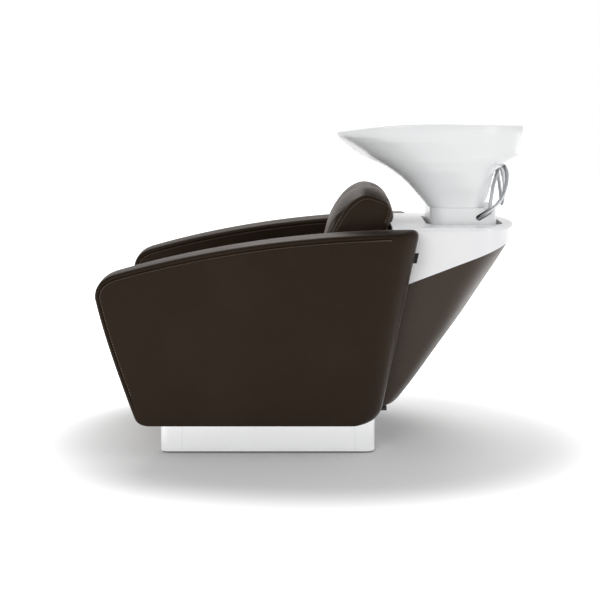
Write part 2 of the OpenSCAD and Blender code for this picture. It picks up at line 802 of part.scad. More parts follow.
// The half space above or below the sloping joint between console and keel
module slope_side(above, off) {
    translate([rear_at(slope_z), 0, slope_z]) rotate([0, -slope, 0])
        translate([-arm_front, -unit_w, off - (above ? 0 : arm_top)])
            cube([2 * arm_front, 2 * unit_w, arm_top]);
}

module mouth() {
    linear_extrude(deck_z - console_deck_t) polygon(console_outline(flange_w, 0));
}

module deck_slot() {
    translate([pillar_front + pillar_len / 2 + (slot_rear_gap - slot_gap) / 2, 0, deck_z - 2 * console_deck_t])
        linear_extrude(3 * console_deck_t)
            round_rect(pillar_len + slot_gap + slot_rear_gap, pillar_w + 2 * slot_gap, pillar_r + slot_gap / 2);
}

module console_shell() color(ceramic) difference() {
    loft(concat([[for (q = console_outline(0, lap_at(slope_z - 60))) [q[0], q[1], slope_z - 60]]],
        [for (a = [0:18:90]) let (z = deck_z - console_edge_r * (1 - sin(a)))
            [for (q = console_outline(console_edge_r * (1 - cos(a)), lap_at(z))) [q[0], q[1], z]]]),
        flip = true);
    slope_side(false, 0);
    difference() {
        translate([0, 0, slope_z - 100]) linear_extrude(deck_z - console_deck_t - slope_z + 100)
            polygon(console_outline(console_wall, lap_at(slope_z - 100)));
        slope_side(false, flange_t);
    }
    mouth();
    deck_slot();
    keel_screw_holes();
    console_screw_holes(console_screw_r);
}

// Height of a keel section beside the place of its rear face
keel_rows = [[0, 242], [3, 251], [10, 259], [71, 309], [165, 378], [260, 448], [355, 512], [450, 575],
    [510, 609]];
keel_half = inner_half - keel_side_gap;
keel_bow = 60;

// Outline of the keel from above at a height, drawn in by a wall
function keel_outline(row, d, over) = let (
        z = keel_z + row[0],
        depth = keel_bow * (1 + row[0] / 450))
    concat([[lap_at(z) - over, -keel_half + d]],
        [for (a = [-90:10:90]) [row[1] - depth + (depth - d) * cos(a), (keel_half - d) * sin(a)]],
        [[lap_at(z) - over, keel_half - d]]);

module keel_form(d, low, over) {
    loft([for (row = keel_rows) [for (q = keel_outline(row, d, over)) [q[0], q[1], keel_z + row[0] + low]]],
        flip = true);
}

module keel_shell() color(leather) difference() {
    keel_form(0, 0, 0);
    slope_side(true, 0);
    difference() {
        keel_form(keel_wall, keel_wall, 30);
        slope_side(true, -keel_wall);
    }
    translate([0, -mouth_half, keel_z - cut])
        cube([base_plate_x + base_plate_len + cut, 2 * mouth_half, keel_wall + 2 * cut]);
    intersection() {
        mouth();
        slope_side(true, -keel_wall - cut);
    }
    keel_screw_holes();
}

// Places of the screws along the sloping joint
keel_screw_us = [15, 110, 205];
keel_screw_y = (mouth_half + keel_half - keel_wall) / 2 + 2;

module at_keel_screws() {
    translate([rear_at(slope_z), 0, slope_z]) rotate([0, -slope, 0])
        for (u = keel_screw_us, s = [-1, 1]) translate([u, s * keel_screw_y, 0]) children();
}

module keel_screw_holes() {
    at_keel_screws() translate([0, 0, -keel_wall - cut])
        cylinder(h = keel_wall + flange_t + 2 * cut, r = keel_screw_r);
}

console_screw_zs = [560, 620];
console_screw_r = 3;

module console_screw_holes(r) {
    mirror_pair() for (z = console_screw_zs)
        rod_y(rear_at(z) - 57, z, console_half - console_wall - cut, core_y + core_t - 2, r);
}

module console_screws() color(polished) mirror_pair() for (z = console_screw_zs) {
    rod_y(rear_at(z) - 57, z, console_half - console_wall, core_y + core_t - 2, console_screw_r);
    rod_y(rear_at(z) - 57, z, console_half - console_wall - 4, console_half - console_wall, 8);
}

module keel_screws() color(polished) at_keel_screws() {
    translate([0, 0, 2 - keel_wall]) cylinder(h = keel_wall + flange_t - 2, r = keel_screw_r);
    translate([0, 0, flange_t]) cylinder(h = 2, r = 2 * keel_screw_r);
}

// Pillar

pillar_mid = pillar_front + pillar_len / 2;
slot_at = [503, 0, 705];

// A slot with round ends through the left wall, along the hoses' way out
module hose_slot() {
    translate([slot_at[0], -pillar_w / 2 - cut, slot_at[2]]) rotate([-90, 0, 0]) rotate([0, 0, -30]) {
        for (s = [-1, 1]) translate([s * hose_slot_len / 2, 0, 0]) cylinder(h = 60, r = hose_slot_r);
        translate([-hose_slot_len / 2, -hose_slot_r, 0]) cube([hose_slot_len, 2 * hose_slot_r, 60]);
    }
}

module pillar_housing() color(ceramic) difference() {
    translate([pillar_mid, 0, pillar_low]) linear_extrude(foot_z - pillar_low)
        round_rect(pillar_len, pillar_w, pillar_r);
    translate([pillar_mid, 0, pillar_low - cut]) linear_extrude(foot_z - pillar_top_t - pillar_low + cut)
        round_rect(pillar_len - 2 * pillar_wall, pillar_w - 2 * pillar_wall, pillar_r - pillar_wall);
    translate([pivot_x, 0, pillar_low]) cylinder(h = foot_z - pillar_low + cut, r = foot_recess_r);
    at_clamps() translate([0, 0, bracket_z]) cylinder(h = 4 * pillar_top_t, r = basin_bolt_r);
    hose_slot();
}

// Basin

ring_steps = 56;
basin_x = basin_front;
rim_z = foot_z + basin_h;

// Height of the rim over a place along the basin, which falls away from the middle to both ends
function rim_at(x) = let (mid = basin_x + basin_len / 2)
    rim_z - (x < mid ? lip_drop : rear_drop) * ((x - mid) / (basin_len / 2)) ^ 2;

// A ring of the basin: its front, rear and widest places, half width, squareness, height and neck share.
// A height above 0 stands on the foot, and one below 0 hangs from the rim.
function basin_ring(r) = [for (i = [0:ring_steps - 1]) let (
        a = 360 * i / ring_steps,
        reach = cos(a) > 0 ? r[1] - r[2] : r[2] - r[0],
        x = r[2] + reach * sign(cos(a)) * abs(cos(a)) ^ (2 / r[4]),
        y = r[3] * sign(sin(a)) * abs(sin(a)) ^ (2 / r[4]),
        z = r[5] > 0 ? foot_z + r[5] : rim_at(basin_x + x) + r[5],
        neck = cos(a) < 0 ? r[6] * exp(-((y / neck_half) ^ 4)) : 0)
    [basin_x + x + neck * neck_set, y, z - neck * neck_drop]];

half = basin_w / 2;
// Outer rows, from the foot up to the rim, and inner rows, from the rim down to the bowl's bottom
outer_rows = [
    [0.497, 0.792, 0.64, 0.600, 4.0, 0], [0.475, 0.802, 0.63, 0.612, 3.8, 0.058],
    [0.441, 0.815, 0.62, 0.645, 3.5, 0.146], [0.403, 0.830, 0.605, 0.700, 3.2, 0.242],
    [0.353, 0.846, 0.58, 0.765, 2.9, 0.354], [0.302, 0.872, 0.555, 0.820, 2.7, 0.442],
    [0.264, 0.906, 0.54, 0.846, 2.6, 0.496], [0.228, 0.943, 0.53, 0.870, 2.5, 0.542],
    [0.187, 0.972, 0.52, 0.890, 2.45, 0.592], [0.148, 0.977, 0.51, 0.910, 2.4, 0.642],
    [0.075, 0.983, 0.50, 0.950, 2.4, 0.742], [0.041, 0.987, 0.49, 0.967, 2.4, 0.788],
    [0.009, 0.991, 0.49, 0.980, 2.4, 0.838]];
outer_necks = [0, 0, 0, 0, 0, 0, 0.04, 0.15, 0.30, 0.50, 0.80, 0.95, 1];
// How far each rim ring is drawn in, as a share of the rim's width, and how deep it lies
rim_rows = [[0, 7], [0.08, 2], [0.28, 0], [0.62, 0], [0.88, 3], [1, 10]];
inner_rows = [
    [0.100, 0.953, 0.49, 0.888, 2.4, 0.788, 0.80], [0.157, 0.943, 0.50, 0.856, 2.4, 0.692, 0.50],
    [0.190, 0.937, 0.51, 0.832, 2.4, -1, 0.30], [0.197, 0.778, 0.51, 0.820, 2.6, -2, 0.25],
    [0.227, 0.773, 0.52, 0.818, 2.75, 0.596, 0.15], [0.280, 0.766, 0.535, 0.798, 2.8, 0.519, 0],
    [0.343, 0.760, 0.555, 0.760, 2.7, 0.423, 0], [0.407, 0.755, 0.58, 0.696, 2.5, 0.327, 0],
    [0.460, 0.750, 0.605, 0.592, 2.4, 0.250, 0], [0.503, 0.743, 0.63, 0.480, 2.3, 0.200, 0],
    [0.547, 0.736, 0.645, 0.340, 2.2, 0.173, 0]];

bowl_end = drain_flange_r + 8;

function basin_rings() = let (
        l = basin_len,
        pivot = pivot_x - basin_x,
        outer = [for (k = [0:len(outer_rows) - 1]) let (r = outer_rows[k])
            [r[0] * l, r[1] * l, r[2] * l, r[3] * half, r[4], max(0.001, r[5] * basin_h), outer_necks[k]]],
        rim = [for (r = rim_rows) let (d = r[0] * rim_w)
            [d, l - d, 0.487 * l, half - d, 2.4, -0.001 - r[1], 1]],
        inner = [for (r = inner_rows) let (z = r[5] == -1 ? ledge_h : r[5] == -2 ? ledge_h - 2 : r[5] * basin_h)
            [r[0] * l, r[1] * l, r[2] * l, r[3] * half, r[4], z, r[6]]],
        last = [pivot - bowl_end, pivot + bowl_end, pivot, bowl_end, 2, bowl_h, 0])
    [for (r = concat(outer, rim, inner, [last])) basin_ring(r)];

ledge_z = foot_z + ledge_h;
hollow_front = ledge_x - 30;
hollow_low = 60;
hollow_mid = pivot_x - 85;
hollow_reach = 256;
hollow_half = 175;

// The hollow under the ledge, which is open at the bottom
module ledge_hollow() {
    intersection() {
        translate([0, 0, foot_z + hollow_low]) linear_extrude(ledge_h - ledge_t - hollow_low)
            polygon([for (i = [0:ring_steps - 1]) let (a = 360 * i / ring_steps)
                [hollow_mid + hollow_reach * sign(cos(a)) * abs(cos(a)) ^ 0.83,
                    hollow_half * sign(sin(a)) * abs(sin(a)) ^ 0.83]]);
        translate([hollow_front, -half, foot_z]) cube([basin_len, basin_w, basin_h]);
    }
}

module basin_bowl() color(ceramic) difference() {
    loft(basin_rings(), flip = true);
    ledge_hollow();
    translate([pivot_x, 0, foot_z - cut]) {
        cylinder(h = bowl_h + 2 * cut, r = tail_r + seat_gap);
        cylinder(h = foot_recess + cut, r = foot_recess_r);
    }
    at_clamps() translate([0, 0, foot_z - cut]) cylinder(h = clamp_depth + cut, r = basin_bolt_r);
    translate([ledge_x, -mixer_y, ledge_z - 2 * ledge_t]) cylinder(h = 4 * ledge_t, r = shank_r + seat_gap);
    translate([ledge_x, shower_y, ledge_z - 2 * ledge_t]) cylinder(h = 4 * ledge_t, r = guide_r + seat_gap);
}

bowl_z = foot_z + bowl_h;
throat_r = tail_r - tail_wall;
seat_step = 12;

module drain_flange() color(polished) translate([pivot_x, 0, 0]) difference() {
    union() {
        translate([0, 0, bowl_z + seat_gap]) cylinder(h = drain_flange_t, r = drain_flange_r);
        translate([0, 0, tail_z]) cylinder(h = bowl_z + seat_gap - tail_z, r = tail_r);
    }
    translate([0, 0, bowl_z - seat_step]) cylinder(h = 2 * seat_step, r = throat_r);
    translate([0, 0, tail_z - cut]) cylinder(h = bowl_z - tail_z, r = throat_r - tail_wall);
}

module drain_gasket() color(rubber) translate([pivot_x, 0, foot_z + foot_recess - 3]) difference() {
    cylinder(h = 3, r = tail_r + 14);
    translate([0, 0, -cut]) cylinder(h = 3 + 2 * cut, r = tail_r);
}

module drain_nut() color(white_plastic) translate([pivot_x, 0, foot_z + foot_recess - 15]) difference() {
    hex(2 * tail_r + 20, 12);
    translate([0, 0, -cut]) cylinder(h = 12 + 2 * cut, r = tail_r);
}

module hair_strainer() color(polished) translate([pivot_x, 0, bowl_z - seat_step + seat_gap]) difference() {
    union() {
        cylinder(h = 3, r = throat_r - seat_gap);
        cylinder(h = 14, r = 3);
        translate([0, 0, 14]) cylinder(h = 4, r = 7);
    }
    for (a = [0:45:315]) rotate([0, 0, a]) translate([0.62 * throat_r, 0, -cut])
        cylinder(h = 3 + 2 * cut, r = 2);
}

trap_x = pipe_x + 79;
trap_out_z = trap_z + trap_h - 25;

module waste_trap() color(white_plastic) difference() {
    translate([trap_x, waste_y, trap_z]) cylinder(h = trap_h, r = trap_r);
    translate([trap_x, waste_y, trap_z + 4]) cylinder(h = trap_h, r = trap_r - 8);
    translate([trap_x - trap_r - cut, waste_y, trap_out_z]) rotate([0, 90, 0])
        cylinder(h = trap_r, r = waste_r - 3);
}

// A pipe that runs level from the trap and turns down to the floor
module waste_run(r, over) {
    translate([pipe_x, waste_y, pipe_z - over]) cylinder(h = trap_out_z - pipe_z + over, r = r);
    translate([pipe_x, waste_y, trap_out_z]) sphere(r);
    translate([pipe_x, waste_y, trap_out_z]) rotate([0, 90, 0])
        cylinder(h = trap_x - trap_r - seat_gap - pipe_x + over, r = r);
}

module waste_pipe() color(white_plastic) difference() {
    union() {
        waste_run(waste_r, 0);
        translate([pipe_x, waste_y, pipe_z + spigot_len]) cylinder(h = collar_h, r = waste_r + 3);
    }
    waste_run(waste_r - 3, cut);
}

// Mixer and shower

cap_z = ledge_z + seat_gap + mixer_h;
hinge_z = cap_z + seat_gap + cap_h + 4;
stem_r = 8;
stem_h = cap_h - 8;

module at_mixer() {
    translate([ledge_x, -mixer_y, 0]) children();
}

module mixer_base() color(polished) at_mixer() {
    translate([0, 0, ledge_z - shank_len]) cylinder(h = shank_len + seat_gap, r = shank_r);
    translate([0, 0, ledge_z + seat_gap]) cylinder(h = 6, r = mixer_r);
    translate([0, 0, ledge_z + seat_gap]) cylinder(h = mixer_h, r = mixer_r - 3);
    translate([0, 0, cap_z]) cylinder(h = stem_h, r = stem_r);
}

module ledge_nuts() color(brass) {
    low = ledge_z - ledge_t;
    at_mixer() translate([0, 0, low - 8]) difference() {
        hex(2 * shank_r + 10, 8);
        translate([0, 0, -cut]) cylinder(h = 8 + 2 * cut, r = shank_r);
    }
    translate([ledge_x, shower_y, low - 6]) difference() {
        hex(2 * guide_r + 8, 6);
        translate([0, 0, -cut]) cylinder(h = 6 + 2 * cut, r = guide_r);
    }
}

lever_root_r = 7;

module mixer_cap() color(polished) at_mixer() difference() {
    union() {
        translate([0, 0, cap_z + seat_gap]) cylinder(h = cap_h, r = mixer_r - 3);
        for (s = [-1, 1]) translate([0, s * (lever_w / 2 + seat_gap + 2), 0]) {
            rod_y(0, hinge_z, -2, 2, lever_root_r);
            translate([-lever_root_r, -2, cap_z + cap_h - 1])
                cube([2 * lever_root_r, 4, hinge_z - cap_z - cap_h + 1]);
        }
    }
    translate([0, 0, cap_z]) cylinder(h = stem_h + 2 * seat_gap, r = stem_r + run_gap);
    rod_y(0, hinge_z, -mixer_r, mixer_r, lever_pin_r);
    translate([-mixer_r, -lever_w / 2 - seat_gap, hinge_z - lever_root_r - seat_gap])
        cube([mixer_r + lever_root_r + 2, lever_w + 2 * seat_gap, 3 * lever_root_r]);
}

lever_t = 7;

module mixer_lever() color(polished) at_mixer() difference() {
    union() {
        rod_y(0, hinge_z, -lever_w / 2, lever_w / 2, lever_root_r);
        translate([-lever_len, -lever_w / 2, hinge_z]) cube([lever_len, lever_w, lever_t]);
        translate([-lever_len, 0, hinge_z]) cylinder(h = lever_t, r = lever_w / 2);
    }
    rod_y(0, hinge_z, -lever_w, lever_w, lever_pin_r + run_gap);
}

module lever_pin() color(polished) at_mixer()
    rod_y(0, hinge_z, -lever_w / 2 - seat_gap - 4, lever_w / 2 + seat_gap + 4, lever_pin_r);

guide_flange_t = 4;
guide_low = ledge_z - 26;

module at_shower() {
    translate([ledge_x, shower_y, 0]) children();
}

module shower_guide() color(polished) at_shower() difference() {
    union() {
        translate([0, 0, guide_low + 6])
            cylinder(h = ledge_z + seat_gap + guide_flange_t - guide_low - 6, r = guide_r);
        translate([0, 0, ledge_z + seat_gap]) cylinder(h = guide_flange_t, r = guide_r + 5);
    }
    translate([0, 0, guide_low - cut]) cylinder(h = 60, r = guide_bore_r);
}

shower_low = ledge_z + seat_gap + guide_flange_t + seat_gap;

module hand_shower() color(polished) at_shower() rotate_extrude()
    polygon(concat([[0, guide_low], [spigot_r, guide_low], [spigot_r, shower_low],
            [spigot_r + 4, shower_low]],
        bend([spigot_r + 4, shower_low], [spigot_r + 1, shower_low + 0.45 * shower_h],
            [shower_r, ledge_z + shower_h - 10], 8),
        [[shower_r, ledge_z + shower_h - 10], [shower_r, ledge_z + shower_h - 3],
            [shower_r - 3, ledge_z + shower_h], [0, ledge_z + shower_h]]));

// Hoses, each along round numbers chosen by hand, and smoothed through them

// A point on the smooth curve through the points p, at t along it
function spline(p, t) = let (
        k = min(floor(t), len(p) - 2),
        u = t - k,
        b = p[k],
        c = p[k + 1],
        a = k == 0 ? 2 * b - c : p[k - 1],
        d = k == len(p) - 2 ? 2 * c - b : p[k + 2])
    0.5 * (2 * b + (c - a) * u + (2 * a - 5 * b + 4 * c - d) * u ^ 2 + (3 * b - a - 3 * c + d) * u ^ 3);

function unit(v) = v / norm(v);

// Frames that are carried along the curve without twist
function carry(dirs, k, side) = k == len(dirs) ? [] :
    let (s = unit(side - (side * dirs[k]) * dirs[k])) concat([s], carry(dirs, k + 1, s));

// A tube along the smooth curve, with rings square to it
module tube(p, r, sides, rings) {
    ts = [for (k = [0:rings - 1]) (len(p) - 1) * k / (rings - 1)];
    mids = [for (t = ts) spline(p, t)];
    dirs = [for (k = [0:rings - 1]) k == 0 ? unit(p[1] - p[0]) : k == rings - 1
        ? unit(p[len(p) - 1] - p[len(p) - 2]) : unit(mids[k + 1] - mids[k - 1])];
    us = carry(dirs, 0, abs(dirs[0][2]) > 0.9 ? [1, 0, 0] : [0, 0, 1]);
    loft([for (k = [0:rings - 1]) [for (i = [0:sides - 1]) let (a = 360 * i / sides)
        mids[k] + r * cos(a) * us[k] + r * sin(a) * cross(dirs[k], us[k])]], flip = true);
}

port_r = 9.5;
port_z = ledge_z - shank_len;
port_x = port_r * cos(30);
port_y = port_r * sin(30);
valve_top = post_low + 85;
hot_route = [[pipe_x, hot_y, valve_top], [pipe_x, hot_y, valve_top + 20], [182, -131, 290],
    [238, -132, 385], [308, -133, 468], [374, -133, 545], [430, -133, 612], [462, -134, 660],
    [485, -137, 689], [496, -149, 700], [509, -164, 710], [531, -172, 730], [553, -166, 757],
    [567, -149, 787], [575, -126, 812], [577, -102, 834], [573, -83, 850],
    [ledge_x + port_x, -mixer_y - port_y, port_z - 8], [ledge_x + port_x, -mixer_y - port_y, port_z]];
cold_route = [[pipe_x, cold_y, valve_top], [pipe_x, cold_y, valve_top + 20], [178, -96, 290],
    [232, -104, 385], [304, -112, 468], [372, -115, 542], [428, -116, 606], [452, -117, 645],
    [474, -118, 678], [492, -124, 697], [504, -133, 705], [514, -143, 712], [521, -152, 721],
    [521, -156, 741], [525, -152, 765], [530, -143, 790], [538, -128, 812], [547, -108, 832],
    [552, -88, 847], [ledge_x - port_x, -mixer_y - port_y, port_z - 8],
    [ledge_x - port_x, -mixer_y - port_y, port_z]];
shower_route = [[ledge_x, port_r - mixer_y, port_z], [ledge_x, port_r - mixer_y, port_z - 12],
    [570, -57, 835], [577, -56, 800], [578, -48, 765], [578, -32, 738], [578, -9, 728],
    [578, 14, 738], [578, 32, 765], [575, 44, 800], [568, 48, 835],
    [ledge_x, shower_y, guide_low - 12], [ledge_x, shower_y, guide_low]];
drain_route = [[pivot_x, 0, tail_z], [pivot_x, 0, tail_z - 20], [425, 0, 640], [405, 4, 580],
    [368, 18, 510], [326, 42, 440], [284, 70, 370], [246, 92, 310],
    [trap_x, waste_y, trap_z + trap_h + 20], [trap_x, waste_y, trap_z + trap_h]];

module shower_hose() color(polished) tube(shower_route, hose_r, 8, 36);

module hot_hose() color(polished) tube(hot_route, hose_r, 8, 52);

module cold_hose() color(polished) tube(cold_route, hose_r, 8, 50);

module drain_hose() color(white_plastic) tube(drain_route, drain_hose_r, 12, 28);

// Stop valves

handle_z = post_low + 40;

module stop_valve(y) {
    translate([pipe_x, y, 0]) difference() {
        union() {
            translate([0, 0, pipe_z]) cylinder(h = post_low + 10 - pipe_z, r = supply_r);
            translate([0, 0, pipe_z + spigot_len]) hex(2 * supply_r + 7, collar_h);
            translate([0, 0, post_low + 10]) cylinder(h = valve_h, r = valve_r);
            translate([0, 0, post_low + 10 + valve_h])
                cylinder(h = valve_top - post_low - 10 - valve_h, r = supply_r);
            translate([0, 0, handle_z]) rotate([0, 90, 0]) cylinder(h = valve_r + 6, r = 8);
        }
        translate([0, 0, handle_z]) rotate([0, 90, 0]) cylinder(h = valve_r + 6 + cut, r = 4 + run_gap);
        translate([0, 0, pipe_z - cut]) cylinder(h = spigot_len, r = supply_r - supply_wall);
    }
}

module hot_stop_valve() color(brass) stop_valve(hot_y);

module cold_stop_valve() color(brass) stop_valve(cold_y);

module valve_handle(y) {
    translate([pipe_x + valve_r + 6 + seat_gap, y, handle_z]) {
        translate([-12, 0, 0]) rotate([0, 90, 0]) cylinder(h = 14, r = 4);
        rotate([0, 90, 0]) cylinder(h = 5, r = 8);
        translate([0, -4, 0]) cube([5, 8, handle_len]);
    }
}

module hot_valve_handle() color([0.75, 0.15, 0.12]) valve_handle(hot_y);

module cold_valve_handle() color([0.12, 0.30, 0.70]) valve_handle(cold_y);

floor_glides();
plinth_feet();
plinth_front_cap();
plinth_rear_cap();
plinth_left_panel();
plinth_right_panel();
plinth_top_plate();
seat_base_board();
left_side_rail();
right_side_rail();
front_rail();
rear_rail();
seat_deck();
front_panel();
seat_cushion();
back_board();
back_cushion();
left_arm_pad();
right_arm_pad();
left_arm_core();
right_arm_core();
arm_bolts();
sewn_tag();
column_base_plate();
column_bolts();
support_column();
left_fork_plate();
right_fork_plate();
tilt_bushes();
pivot_bolts();
pivot_nuts();
basin_bracket();
basin_bolts();
pillar_housing();
console_shell();
console_screws();
keel_shell();
keel_screws();
basin_bowl();
drain_flange();
drain_gasket();
drain_nut();
hair_strainer();
drain_hose();
waste_trap();
waste_pipe();
mixer_base();
ledge_nuts();
mixer_cap();
mixer_lever();
lever_pin();
shower_guide();
hand_shower();
shower_hose();
hot_hose();
cold_hose();
hot_stop_valve();
cold_stop_valve();
hot_valve_handle();
cold_valve_handle();
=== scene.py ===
# %% [markdown]
# # A salon wash unit
#
# The unit is a chair between two upholstered slab arms, on a polished plinth, with a white console
# behind it. A ceramic basin on a pillar tips on a hidden pivot in the console. Every part could be
# drawn again here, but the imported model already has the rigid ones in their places. So this lesson
# loads it and dresses it: each leather piece, the ceramic, the hoses and the metals get their real
# form and finish, in the same frame and in metres.

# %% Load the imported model
import json
import math

import bmesh
import bpy
from mathutils import Matrix, Vector, noise
from mathutils.kdtree import KDTree


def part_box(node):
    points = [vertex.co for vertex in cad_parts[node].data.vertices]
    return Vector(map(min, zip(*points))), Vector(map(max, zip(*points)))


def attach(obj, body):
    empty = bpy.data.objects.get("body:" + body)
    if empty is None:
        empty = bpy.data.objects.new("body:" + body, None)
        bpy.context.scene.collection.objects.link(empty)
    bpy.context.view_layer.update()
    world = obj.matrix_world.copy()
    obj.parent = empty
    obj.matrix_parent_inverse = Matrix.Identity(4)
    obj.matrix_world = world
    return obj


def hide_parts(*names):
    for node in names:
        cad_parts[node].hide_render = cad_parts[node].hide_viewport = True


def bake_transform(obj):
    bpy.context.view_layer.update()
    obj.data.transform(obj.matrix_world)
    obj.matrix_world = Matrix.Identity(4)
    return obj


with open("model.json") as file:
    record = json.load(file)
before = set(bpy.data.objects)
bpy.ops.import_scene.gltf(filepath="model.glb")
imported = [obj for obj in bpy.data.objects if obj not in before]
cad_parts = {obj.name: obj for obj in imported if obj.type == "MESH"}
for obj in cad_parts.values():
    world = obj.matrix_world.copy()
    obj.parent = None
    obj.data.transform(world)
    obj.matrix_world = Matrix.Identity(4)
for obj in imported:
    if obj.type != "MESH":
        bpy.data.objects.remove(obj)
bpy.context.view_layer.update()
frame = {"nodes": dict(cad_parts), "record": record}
nodes = frame["nodes"]
scene = bpy.context.scene

# %% [markdown]
# ## Camera
#
# The photograph is a straight side view from just above the rim, and the far side looks hardly smaller
# than the near one, as it does through a long lens. Tilting a camera until the picture fits would make
# upright edges lean. So this one looks down by a few degrees only, and its lens is shifted down and
# sideways for the rest of the framing.

# %% Place the camera
LOOK_DOWN = 4.5
camera_data = bpy.data.cameras.new("photo_camera")
camera = bpy.data.objects.new("photo_camera", camera_data)
scene.collection.objects.link(camera)
camera.location = (0.0665, -3.4458, 1.0155)
camera.rotation_euler = (math.radians(90 - LOOK_DOWN), 0, 0)
camera_data.sensor_width = 36
camera_data.lens = 64.83
camera_data.shift_x = -0.0695
camera_data.shift_y = -0.1697
scene.camera = camera
print("camera", round(-camera.location[1], 2), "m away, looking down", LOOK_DOWN, "degrees")

# %% [markdown]
# ## Light
#
# White goods are lit through wide panels of cloth, because small lamps leave hard spots on glaze.
# Blender's area lamps do the same. A wide one overhead gives the tops of the arms their pale sheen, a
# tall one on the right draws the upright streak on the arm's rounded rear edge, and one in front
# lifts the near side out of the dark.

# %% Light the studio
def soft_box(name, place, aim, width, height, power):
    """Adds a rectangular lamp at a place, turned to face a point."""
    lamp = bpy.data.lights.new(name, "AREA")
    lamp.shape = "RECTANGLE"
    lamp.size, lamp.size_y, lamp.energy = width, height, power
    holder = bpy.data.objects.new(name, lamp)
    scene.collection.objects.link(holder)
    holder.location = place
    holder.rotation_euler = (Vector(aim) - Vector(place)).to_track_quat("-Z", "Y").to_euler()
    print(name, width, "by", height, "m,", power, "W")


soft_box("overhead_box", (0.0, 1.5, 3.0), (0.0, 0.0, 0.35), 3.2, 2.0, 82)
soft_box("right_box", (2.6, -1.4, 1.5), (0.2, 0.0, 0.5), 0.7, 2.2, 13)
soft_box("front_fill", (-1.2, -3.4, 2.0), (0.0, 0.0, 0.4), 2.0, 1.6, 33)

# %% [markdown]
# ## Nodes
#
# Every finish, and the light of the room, is a tree of nodes. Trees are usually wired by hand in the
# editor, which a script can't repeat. Three short helpers add a node and feed its inputs in one line,
# so that a tree reads like a sum.

# %% Helpers for nodes
def add_node(tree, kind, settings=(), **inputs):
    """Adds a node, sets its properties, and links or sets its inputs by name, or by number as in i0."""
    node = tree.nodes.new("ShaderNode" + kind)
    for key, value in dict(settings).items():
        setattr(node, key, value)
    for key, value in inputs.items():
        numbered = key[0] == "i" and key[1:].isdigit()
        socket = node.inputs[int(key[1:]) if numbered else key.replace("_", " ")]
        if isinstance(value, bpy.types.NodeSocket):
            tree.links.new(value, socket)
        else:
            socket.default_value = value
    return node


def maths(tree, operation, a, b):
    """A Math node's result, from sockets or numbers."""
    return add_node(tree, "Math", {"operation": operation}, i0=a, i1=b).outputs[0]


def remap(tree, value, low, high, to_low=0.0, to_high=1.0, kind="LINEAR"):
    """A value that ran from low to high, made to run from to_low to to_high."""
    return add_node(tree, "MapRange", {"interpolation_type": kind}, i0=value, i1=low, i2=high,
                    i3=to_low, i4=to_high).outputs[0]


# %% [markdown]
# ## World
#
# The unit stands in a white room. One bright world would show that, but it would also flood the leather
# with light. The Light Path node tells the rays apart: the camera sees full white, mirrors see white
# behind the unit and overhead and a dim room in front of it, and matt surfaces get a weaker sky.

# %% Paint the world
SKY_ON_MATT = 0.65
ROOM_IN_FRONT, ROOM_BEHIND = 0.20, 0.74
world = bpy.data.worlds.new("white_studio")
scene.world = world
world.use_nodes = True
sky = world.node_tree
sky.nodes.clear()
rays = add_node(sky, "LightPath").outputs
heading = add_node(sky, "SeparateXYZ", Vector=add_node(sky, "TexCoord").outputs["Generated"])
mirror_room = remap(sky, heading.outputs["Y"], -0.55, 0.15, ROOM_IN_FRONT, ROOM_BEHIND, "SMOOTHSTEP")
mirrored = maths(sky, "MULTIPLY", rays["Is Glossy Ray"], mirror_room)
clear = maths(sky, "MAXIMUM", rays["Is Camera Ray"], rays["Is Transmission Ray"])
matt = maths(sky, "MULTIPLY", rays["Is Diffuse Ray"], SKY_ON_MATT)
strength = maths(sky, "MAXIMUM", maths(sky, "MAXIMUM", clear, mirrored), matt)
shell = add_node(sky, "Background", Color=(1, 1, 1, 1), Strength=strength)
sky.links.new(shell.outputs[0], sky.nodes.new("ShaderNodeOutputWorld").inputs["Surface"])
scene.view_settings.view_transform = "Standard"
print("world of", len(sky.nodes), "nodes")

# %% [markdown]
# ## Shared effects
#
# Leather, ceramic, steel and wood share a few effects. Each effect could be wired again in every
# material, but then one new look means many changes. A node group is built once, with named inputs and
# outputs, and each material sets its own values. A group gives a colour, a roughness and a normal, and
# the shader itself stays in the material.

# %% Helpers for groups
def mixed(tree, factor, a, b):
    """A colour between a and b."""
    return add_node(tree, "Mix", {"data_type": "RGBA"}, i0=factor, i6=a, i7=b).outputs[2]


def clouds(tree, where, scale, detail, **more):
    """A Noise texture's value."""
    return add_node(tree, "TexNoise", Vector=where, Scale=scale, Detail=detail, **more).outputs["Fac"]


def object_coordinates(tree):
    """The piece's own coordinates, which are the same as the unit's."""
    return add_node(tree, "TexCoord").outputs["Object"]


def new_group(name, inputs):
    """Starts a surface group with a default for each input. Gives it, its inputs and its outputs."""
    group = bpy.data.node_groups.new(name, "ShaderNodeTree")
    for label, value in inputs.items():
        kind = "NodeSocketColor" if isinstance(value, tuple) else "NodeSocketFloat"
        socket = group.interface.new_socket(name=label, in_out="INPUT", socket_type=kind)
        socket.default_value = (*value, 1) if isinstance(value, tuple) else value
    for label, kind in (("Colour", "Color"), ("Roughness", "Float"), ("Normal", "Vector")):
        group.interface.new_socket(name=label, in_out="OUTPUT", socket_type="NodeSocket" + kind)
    return group, group.nodes.new("NodeGroupInput").outputs, group.nodes.new("NodeGroupOutput").inputs


def close_group(group, result, colour, roughness, height, strength, distance):
    """Makes a normal from the height, and links the three outputs."""
    bump = add_node(group, "Bump", Strength=strength, Distance=distance, Height=height)
    for label, socket in (("Colour", colour), ("Roughness", roughness), ("Normal", bump.outputs[0])):
        group.links.new(socket, result[label])
    print("group", group.name, "with", len(group.nodes), "nodes")
    return group


